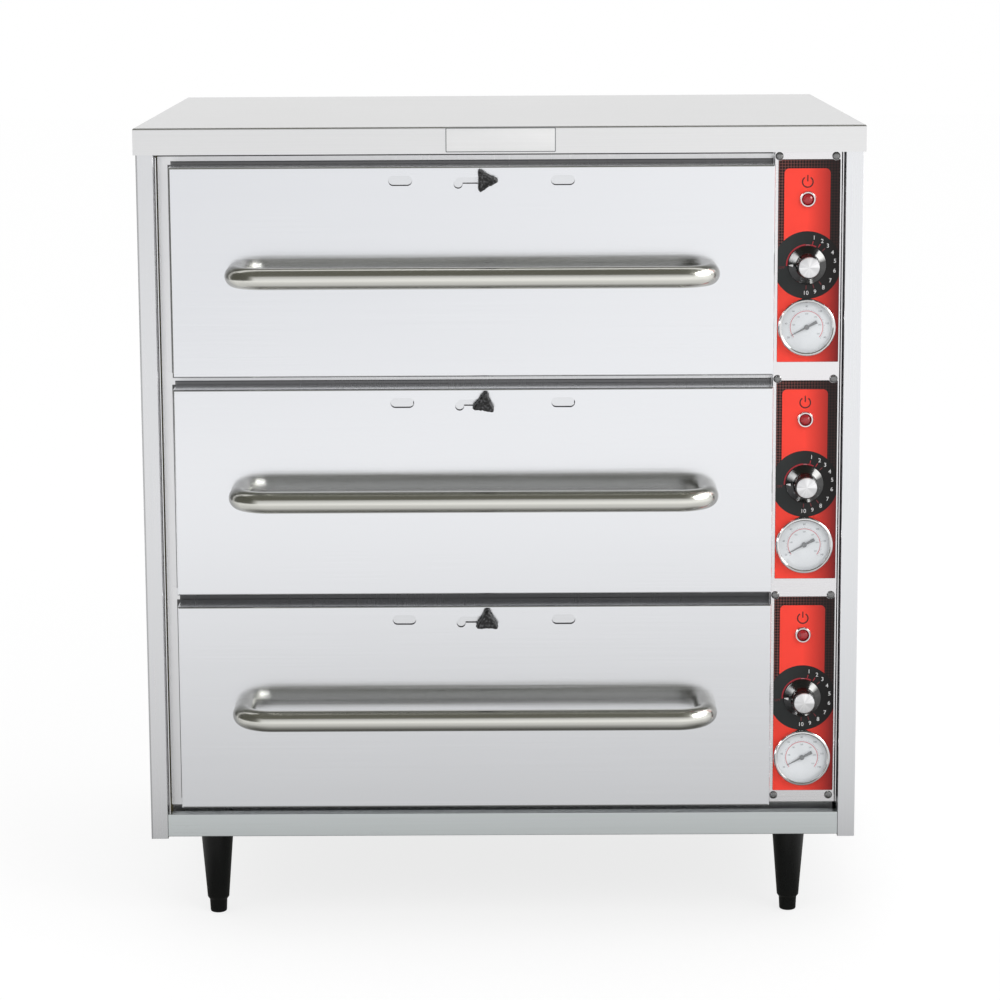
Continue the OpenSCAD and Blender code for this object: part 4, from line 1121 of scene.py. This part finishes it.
@dataclass
class ControlColumn:
    """The control plate with its printed overlays, dials, lamps and thermometers.

    Attributes:
        plate_fold: Where the fold beside the plate starts and ends, past the plate's right edge.
        plate_fold_front: Its front behind the plate's.
        frame_fold: Where the fold beside the frame starts and ends, past the frame's left edge.
        fold_lap: How far the folds' meeting plane lies behind the frame's front.
        overlay_height: Height of an overlay.
        overlay_rise: Its upper edge above its dial's middle.
        disc_radius: Radius of the printed disc.
        digits: Clock angle of each number on the disc.
        number_radius: Radius on which the numbers stand.
        red_digits: Numbers' angles with a red mark.
        dim_digits: Numbers' angles with a dim mark.
        red_marks: Inner radius and length of the red marks.
        dim_marks: Inner radius and length of the dim marks.
        power_shift: Middle of the power symbol from the dial's, x and z.
        ink: Thickness of a layer of print.
        flank_slope: Rise of the knob's flank for its width.
        pointer: For each stretch of the knob's pointer its distance inside the skirt, height and half width, in mm.
        gauge_sweep: Half the sweep of a thermometer's scale.
        gauge_arc: Radii between which its arc lies.
        gauge_marks: Inner radius of its marks and outer ones of short and long marks.
        gauge_numbers: First number, radius and height in metres of each ring of numbers.
    """

    plate_fold: Pair = (0.0011, 0.0021)
    plate_fold_front: float = 0.0006
    frame_fold: Pair = (-0.0008, 0.0001)
    fold_lap: float = 0.0002
    overlay_height: float = 0.211
    overlay_rise: float = 0.1096
    disc_radius: float = 0.0352
    digits: tuple[float, ...] = (14, 32, 47, 64, 82, 102, 124, 144, 163, 182)
    number_radius: float = 0.0292
    red_digits: tuple[float, ...] = (14, 32)
    dim_digits: tuple[float, ...] = (47, 144, 163, 182)
    red_marks: Pair = (0.0214, 0.0041)
    dim_marks: Pair = (0.0212, 0.004)
    power_shift: Pair = (-0.0002, 0.0862)
    ink: float = 0.00008
    flank_slope: float = 0.637
    pointer: tuple[Triple, ...] = ((0.9, 2.5, 0.3), (2.2, 3.32, 0.65), (3.6, 4.22, 1.0), (5.0, 5.1, 1.35))
    gauge_sweep: float = 128.0
    gauge_arc: Pair = (0.0166, 0.0173)
    gauge_marks: Triple = (0.0178, 0.0187, 0.0193)
    gauge_numbers: tuple[tuple[int, float, float], ...] = ((20, 0.0216, 0.0019), (50, 0.0139, 0.0015))

    def build(self) -> None:
        """Dresses the plate, prints the three overlays and adds the dials."""
        dress_nodes(control_plate=Finishes.PLATE, overlays=Finishes.FILM, pilot_bezels=Finishes.TRIM,
                    pilot_lenses=Finishes.LENS, gauge_cases=Finishes.TRIM, gauge_dials=Finishes.FACE,
                    gauge_glasses=Finishes.GLASS, panel_screws=Finishes.SCREW)
        self.add_side_folds()
        for n in DRAWERS:
            self.print_overlay(n)
            self.add_knob(n)
            self.print_gauge(n)

    def add_side_folds(self) -> None:
        """Folded edges of the face frame that show beside the two stiles."""
        low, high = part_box("control_plate")
        frame_low, frame_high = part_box("inner_frame")
        rear = frame_low.y + self.fold_lap
        strip = box_mesh((high.x + self.plate_fold[0], low.y + self.plate_fold_front, low.z),
                         (high.x + self.plate_fold[1], rear, high.z), 0.00015)
        add_piece("plate_side_fold", strip, Finishes.PLATE)
        edge = box_mesh((frame_low.x + self.frame_fold[0], rear, frame_low.z),
                        (frame_low.x + self.frame_fold[1], rear + MM, frame_high.z), 0.0001)
        add_piece("frame_side_fold", edge, Finishes.FRAME)

    def print_overlay(self, n: int) -> None:
        """Prints the red field, the dial's disc, the numbers and the marks of one overlay.

        Args:
            n: Number of the drawer.
        """
        low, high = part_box("overlays")
        dial = x, z = axis_of(f"knob_{n}_turn")
        top = z + self.overlay_rise
        bottom = top - self.overlay_height
        power = px, pz = x + self.power_shift[0], z + self.power_shift[1]
        first, second, third = (low.y - layer * self.ink for layer in (1, 2, 3))
        disc = [(min(max(px, low.x + 0.0001), high.x - 0.0001), pz)
                for px, pz in arc(dial, self.disc_radius, 0, 360, 144)[:-1]]
        ticks = {angle: band(dial, inner, inner + depth, angle - 1, angle + 1, 2)
                 for angles, (inner, depth) in ((self.red_digits, self.red_marks), (self.dim_digits, self.dim_marks))
                 for angle in angles}
        outlines = {
            ("red_field", Finishes.RED, first): (
                soft_corners((low.x + 0.0062, z - 0.004), (high.x - 0.0102, top - 0.0094), (0.005, 0.0, 0.0, 0.005)),
                soft_corners((low.x + 0.0002, bottom + 0.0002), (high.x - 0.0002, z), (0.0, 0.001, 0.001, 0.0))),
            ("dial_disc", Finishes.DISC, second): (disc,),
            ("dial_numbers", Finishes.INK_WHITE, third): (),
            # Painted highlight: a pale pink stretch at the top of the red arc
            ("dial_arc_top", Finishes.INK_PINK, third): (band(dial, 0.0205, 0.0213, -4, 7),),
            ("dial_arc", Finishes.INK_RED, third): (
                band(dial, 0.0204, 0.0218, -92, -5), band(dial, 0.0204, 0.0216, 8, 26),
                *(ticks[angle] for angle in self.red_digits)),
            ("dial_dim_marks", Finishes.INK_DIM_RED, third): tuple(ticks[angle] for angle in self.dim_digits),
            ("power_symbol", Finishes.INK_DARK, second): (
                band(power, 0.0048, 0.0061, 34, 326),
                soft_corners((px - 0.0006, pz + 0.0005), (px + 0.0006, pz + 0.0072), (0.0004,) * 4)),
        }
        words = {
            "dial_numbers": [(str(value), 0.0042, on_clock(dial, self.number_radius, angle))
                             for value, angle in enumerate(self.digits, start=1)],
            "dial_dim_marks": [("OFF", 0.0026, (x - 0.0262, z - 0.0026))],
        }
        for (name, finish, front), shapes in outlines.items():
            marks = [slab(shape, front, self.ink) for shape in shapes]
            marks += [lettering(*word, front, self.ink) for word in words.get(name, ())]
            add_piece(f"{name}_{n}", merge(marks), finish)

    def add_knob(self, n: int) -> None:
        """The dial knob with its pointer and its spun cap.

        Args:
            n: Number of the drawer.
        """
        low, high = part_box(f"knob_{n}")
        cap_low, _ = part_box(f"knob_cap_{n}")
        x, z = axis_of(f"knob_{n}_turn")
        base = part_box("overlays")[0].y - 0.0003
        tall = (base - low.y) / MM
        skirt = (high.x - low.x) / 2 / MM
        profile = [(6.8, 0.2), (skirt - 0.8, 0.2), (skirt - 0.2, 0.5), (skirt, 1.1), (skirt - 0.15, 1.8),
                   (skirt - 0.45, 2.15), (skirt - 0.75, 2.4), (12.9, 2.4 + (skirt - 13.65) * self.flank_slope),
                   (12.6, 2.6 + (skirt - 13.35) * self.flank_slope), (12.35, 7.3), (12.2, 9.5), (12.0, tall - 1.2),
                   (11.7, tall - 0.4), (11.3, tall), (11.0, tall), (10.9, tall - 0.6), (0.0, tall - 0.6)]
        piece = add_piece(f"dial_knob_{n}", lathe(profile, Vector((x, base, z))), Finishes.KNOB, f"dial_{n}",
                          sharp=50.0)
        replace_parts(piece, f"knob_{n}")
        section = ((-0.5, -1), (0.12, -1), (0.12, 1), (-0.5, 1))
        rings = [[Vector((x - (skirt - inside + proud) * MM, base - (lift + proud) * MM, z + side * half * MM))
                  for proud, side in section] for inside, lift, half in self.pointer]
        add_piece(f"knob_pointer_{n}", skin(rings, caps=True), Finishes.INK_WHITE, f"dial_{n}")
        cap = lathe([(10.8, -0.4), (10.8, 0.5), (10.5, 1.0), (9.8, 1.25), (0.0, 1.5)],
                    Vector((x, cap_low.y + 0.0013, z)))
        finish = SpunDisc(f"spun_cap_{n}", (0.86, 0.86, 0.87), 0.3, centre=(x, z))
        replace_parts(add_piece(f"knob_cap_face_{n}", cap, finish, f"dial_{n}"), f"knob_cap_{n}")

    def print_gauge(self, n: int) -> None:
        """Scale, numbers, arc and pointer of one thermometer.

        Args:
            n: Number of the drawer.
        """
        centre = axis_of(f"needle_{n}_turn")
        front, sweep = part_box("gauge_dials")[0].y - self.ink, self.gauge_sweep
        rim = slab(band(centre, *self.gauge_arc, -sweep, sweep, 96), front, self.ink)
        add_piece(f"gauge_arc_{n}", rim, Finishes.INK_PINK)
        marks = []
        inner, short, long = self.gauge_marks
        for index in range(49):
            angle, outer = sweep * (index / 24 - 1.0), short if index % 4 else long
            marks.append(slab(band(centre, inner, outer, angle - 0.35, angle + 0.35, 1), front, self.ink))
        for index in range(7):
            for first, radius, height in self.gauge_numbers:
                spot = on_clock(centre, radius, -120 + 40 * index)
                marks.append(lettering(str(first * (index + 1)), height, spot, front, self.ink))
        add_piece(f"gauge_scale_{n}", merge(marks), Finishes.INK_GREY)
        dress_nodes(**{f"needle_{n}": Finishes.NEEDLE})


@dataclass
class Legs:
    """The four tapered legs with their screwed feet."""

    def build(self) -> None:
        """Dresses the legs and the feet."""
        dress_nodes(legs=Finishes.LEG, **{f"foot_{n}": Finishes.LEG for n in FEET})


@dataclass
class Studio:
    """The floor, the light and the camera.

    Attributes:
        place: The camera's place.
        pitch: How far the camera looks down.
        yaw: How far it looks to the left.
        roll: How far the picture leans.
        focal: Focal length as a share of the picture's width.
        shift: Shift of the picture, as a share of its width.
        floor_size: Half the floor's width.
        floor_glow: Share of the floor's look that doesn't depend on the light.
        floor_level: Strength of that share.
        room_light: Strength of the room's light on diffuse surfaces.
        boards: Name, lowest and highest corner in metres, and finish of each board that glossy surfaces mirror.
        lamps: Name, place in metres, power in watts and size in metres of each soft lamp.
        aim: Where the lamps point.
    """

    place: Triple = (-0.000869, -3.445180, 1.065940)
    pitch: float = 9.454
    yaw: float = 0.2586
    roll: float = -0.322
    focal: float = 3.102412
    shift: Pair = (0.013885, -0.06)
    floor_size: float = 14.0
    floor_glow: float = 0.68
    floor_level: float = 1.14
    room_light: float = 0.8
    boards: tuple[tuple[str, Triple, Triple, Finish], ...] = (
        ("front_wall", (-4.5, -4.2, 0.0), (4.5, -4.2, 3.2), Finishes.WALL),
        ("ceiling", (-4.5, -4.2, 3.2), (4.5, 0.3, 3.2), Finishes.CEILING),
        ("left_wall", (-3.0, -4.2, 0.0), (-3.0, 1.0, 3.2), Finishes.LEFT_WALL),
        ("window", (2.9, -2.25, 0.9), (2.9, 0.5, 3.9), Finishes.WINDOW),
        ("floor_shade", (-3.2, -3.2, 0.0002), (3.2, 3.2, 0.0002), Finishes.SHADE))
    lamps: tuple[tuple[str, Triple, float, float], ...] = (
        ("key", (1.9, -2.6, 2.4), 26.0, 1.8), ("fill", (-2.4, -2.2, 1.4), 9.0, 2.0))
    aim: Triple = (0.0, 0.0, 0.45)

    def build(self) -> None:
        """Sets up the camera, the floor, the world, the boards and the lamps."""
        self.add_camera()
        self.add_floor()
        self.light_world()
        for name, low, high, finish in self.boards:
            self.add_board(name, low, high, finish)
        self.add_lamps()
        bpy.context.scene.view_settings.view_transform = "Standard"

    def add_camera(self) -> None:
        """The camera at the photograph's place."""
        data = bpy.data.cameras.new("camera")
        data.sensor_width = 36.0
        data.lens = data.sensor_width * self.focal
        data.shift_x, data.shift_y = self.shift
        camera = put("camera", data)
        turn = (Matrix.Rotation(math.radians(self.yaw), 4, "Z")
                @ Matrix.Rotation(math.radians(90.0 - self.pitch), 4, "X")
                @ Matrix.Rotation(math.radians(self.roll), 4, "Z"))
        camera.matrix_world = Matrix.Translation(self.place) @ turn
        bpy.context.scene.camera = camera

    def add_floor(self) -> None:
        """A plain floor that shows as pale and keeps a soft shadow."""
        made = bpy.data.materials.new("floor_pale")
        board = Board(made)
        paint = board.place("BsdfDiffuse", Color=(0.86, 0.86, 0.86))
        glow = board.place("Emission", Strength=self.floor_level)
        share = board.reckon("MULTIPLY", board.seen_rays(), self.floor_glow)
        board.place("OutputMaterial", board.place("MixShader", share, paint, glow))
        mesh = bmesh.new()
        bmesh.ops.create_grid(mesh, x_segments=2, y_segments=2, size=self.floor_size)
        floor = put_mesh("floor", mesh, made)
        floor.location = (0.0, 0.0, -0.0005)

    def light_world(self) -> None:
        """A pale room that shows as white and lights the diffuse surfaces a little less."""
        world = bpy.data.worlds.new("room")
        bpy.context.scene.world = world
        board = Board(world)
        room, white = (board.place("Background", Color=WHITE, Strength=level) for level in (self.room_light, 1.0))
        board.place("OutputWorld", board.place("MixShader", board.seen_rays(), room, white))

    def add_board(self, name: str, low: Triple, high: Triple, finish: Finish) -> None:
        """A board of the room that only shows in glossy surfaces.

        Args:
            name: The board's name.
            low: Its lowest corner.
            high: Its highest corner, level with the first one along one axis.
            finish: Its finish.
        """
        mesh = bmesh.new()
        first, second, third, fourth = (mesh.verts.new(spot) for spot in dict.fromkeys(product(*zip(low, high))))
        mesh.faces.new((first, second, fourth, third))
        board = put_mesh(name, mesh, finish.material())
        board.visible_camera = board.visible_diffuse = board.visible_shadow = board.visible_transmission = False

    def add_lamps(self) -> None:
        """Two large soft lamps that only shape the diffuse light."""
        for name, spot, power, size in self.lamps:
            data = bpy.data.lights.new(name, "AREA")
            data.energy = power
            data.size = size
            lamp = put(name, data)
            turn = (Vector(self.aim) - Vector(spot)).to_track_quat("-Z", "Y").to_matrix().to_4x4()
            lamp.visible_glossy = False
            lamp.matrix_world = Matrix.Translation(spot) @ turn


def main() -> None:
    """Builds and dresses the cabinet, piece by piece."""
    logging.basicConfig(level=logging.INFO, format="%(message)s")
    drawers = [Drawer(number, turn) for number, turn in zip(DRAWERS, THUMB_TURNS)]
    for part in (Shell(), FaceFrame(), *drawers, ControlColumn(), Legs(), Studio()):
        part.build()
        log.info("%s: built", type(part).__name__)


if __name__ == "__main__":
    main()
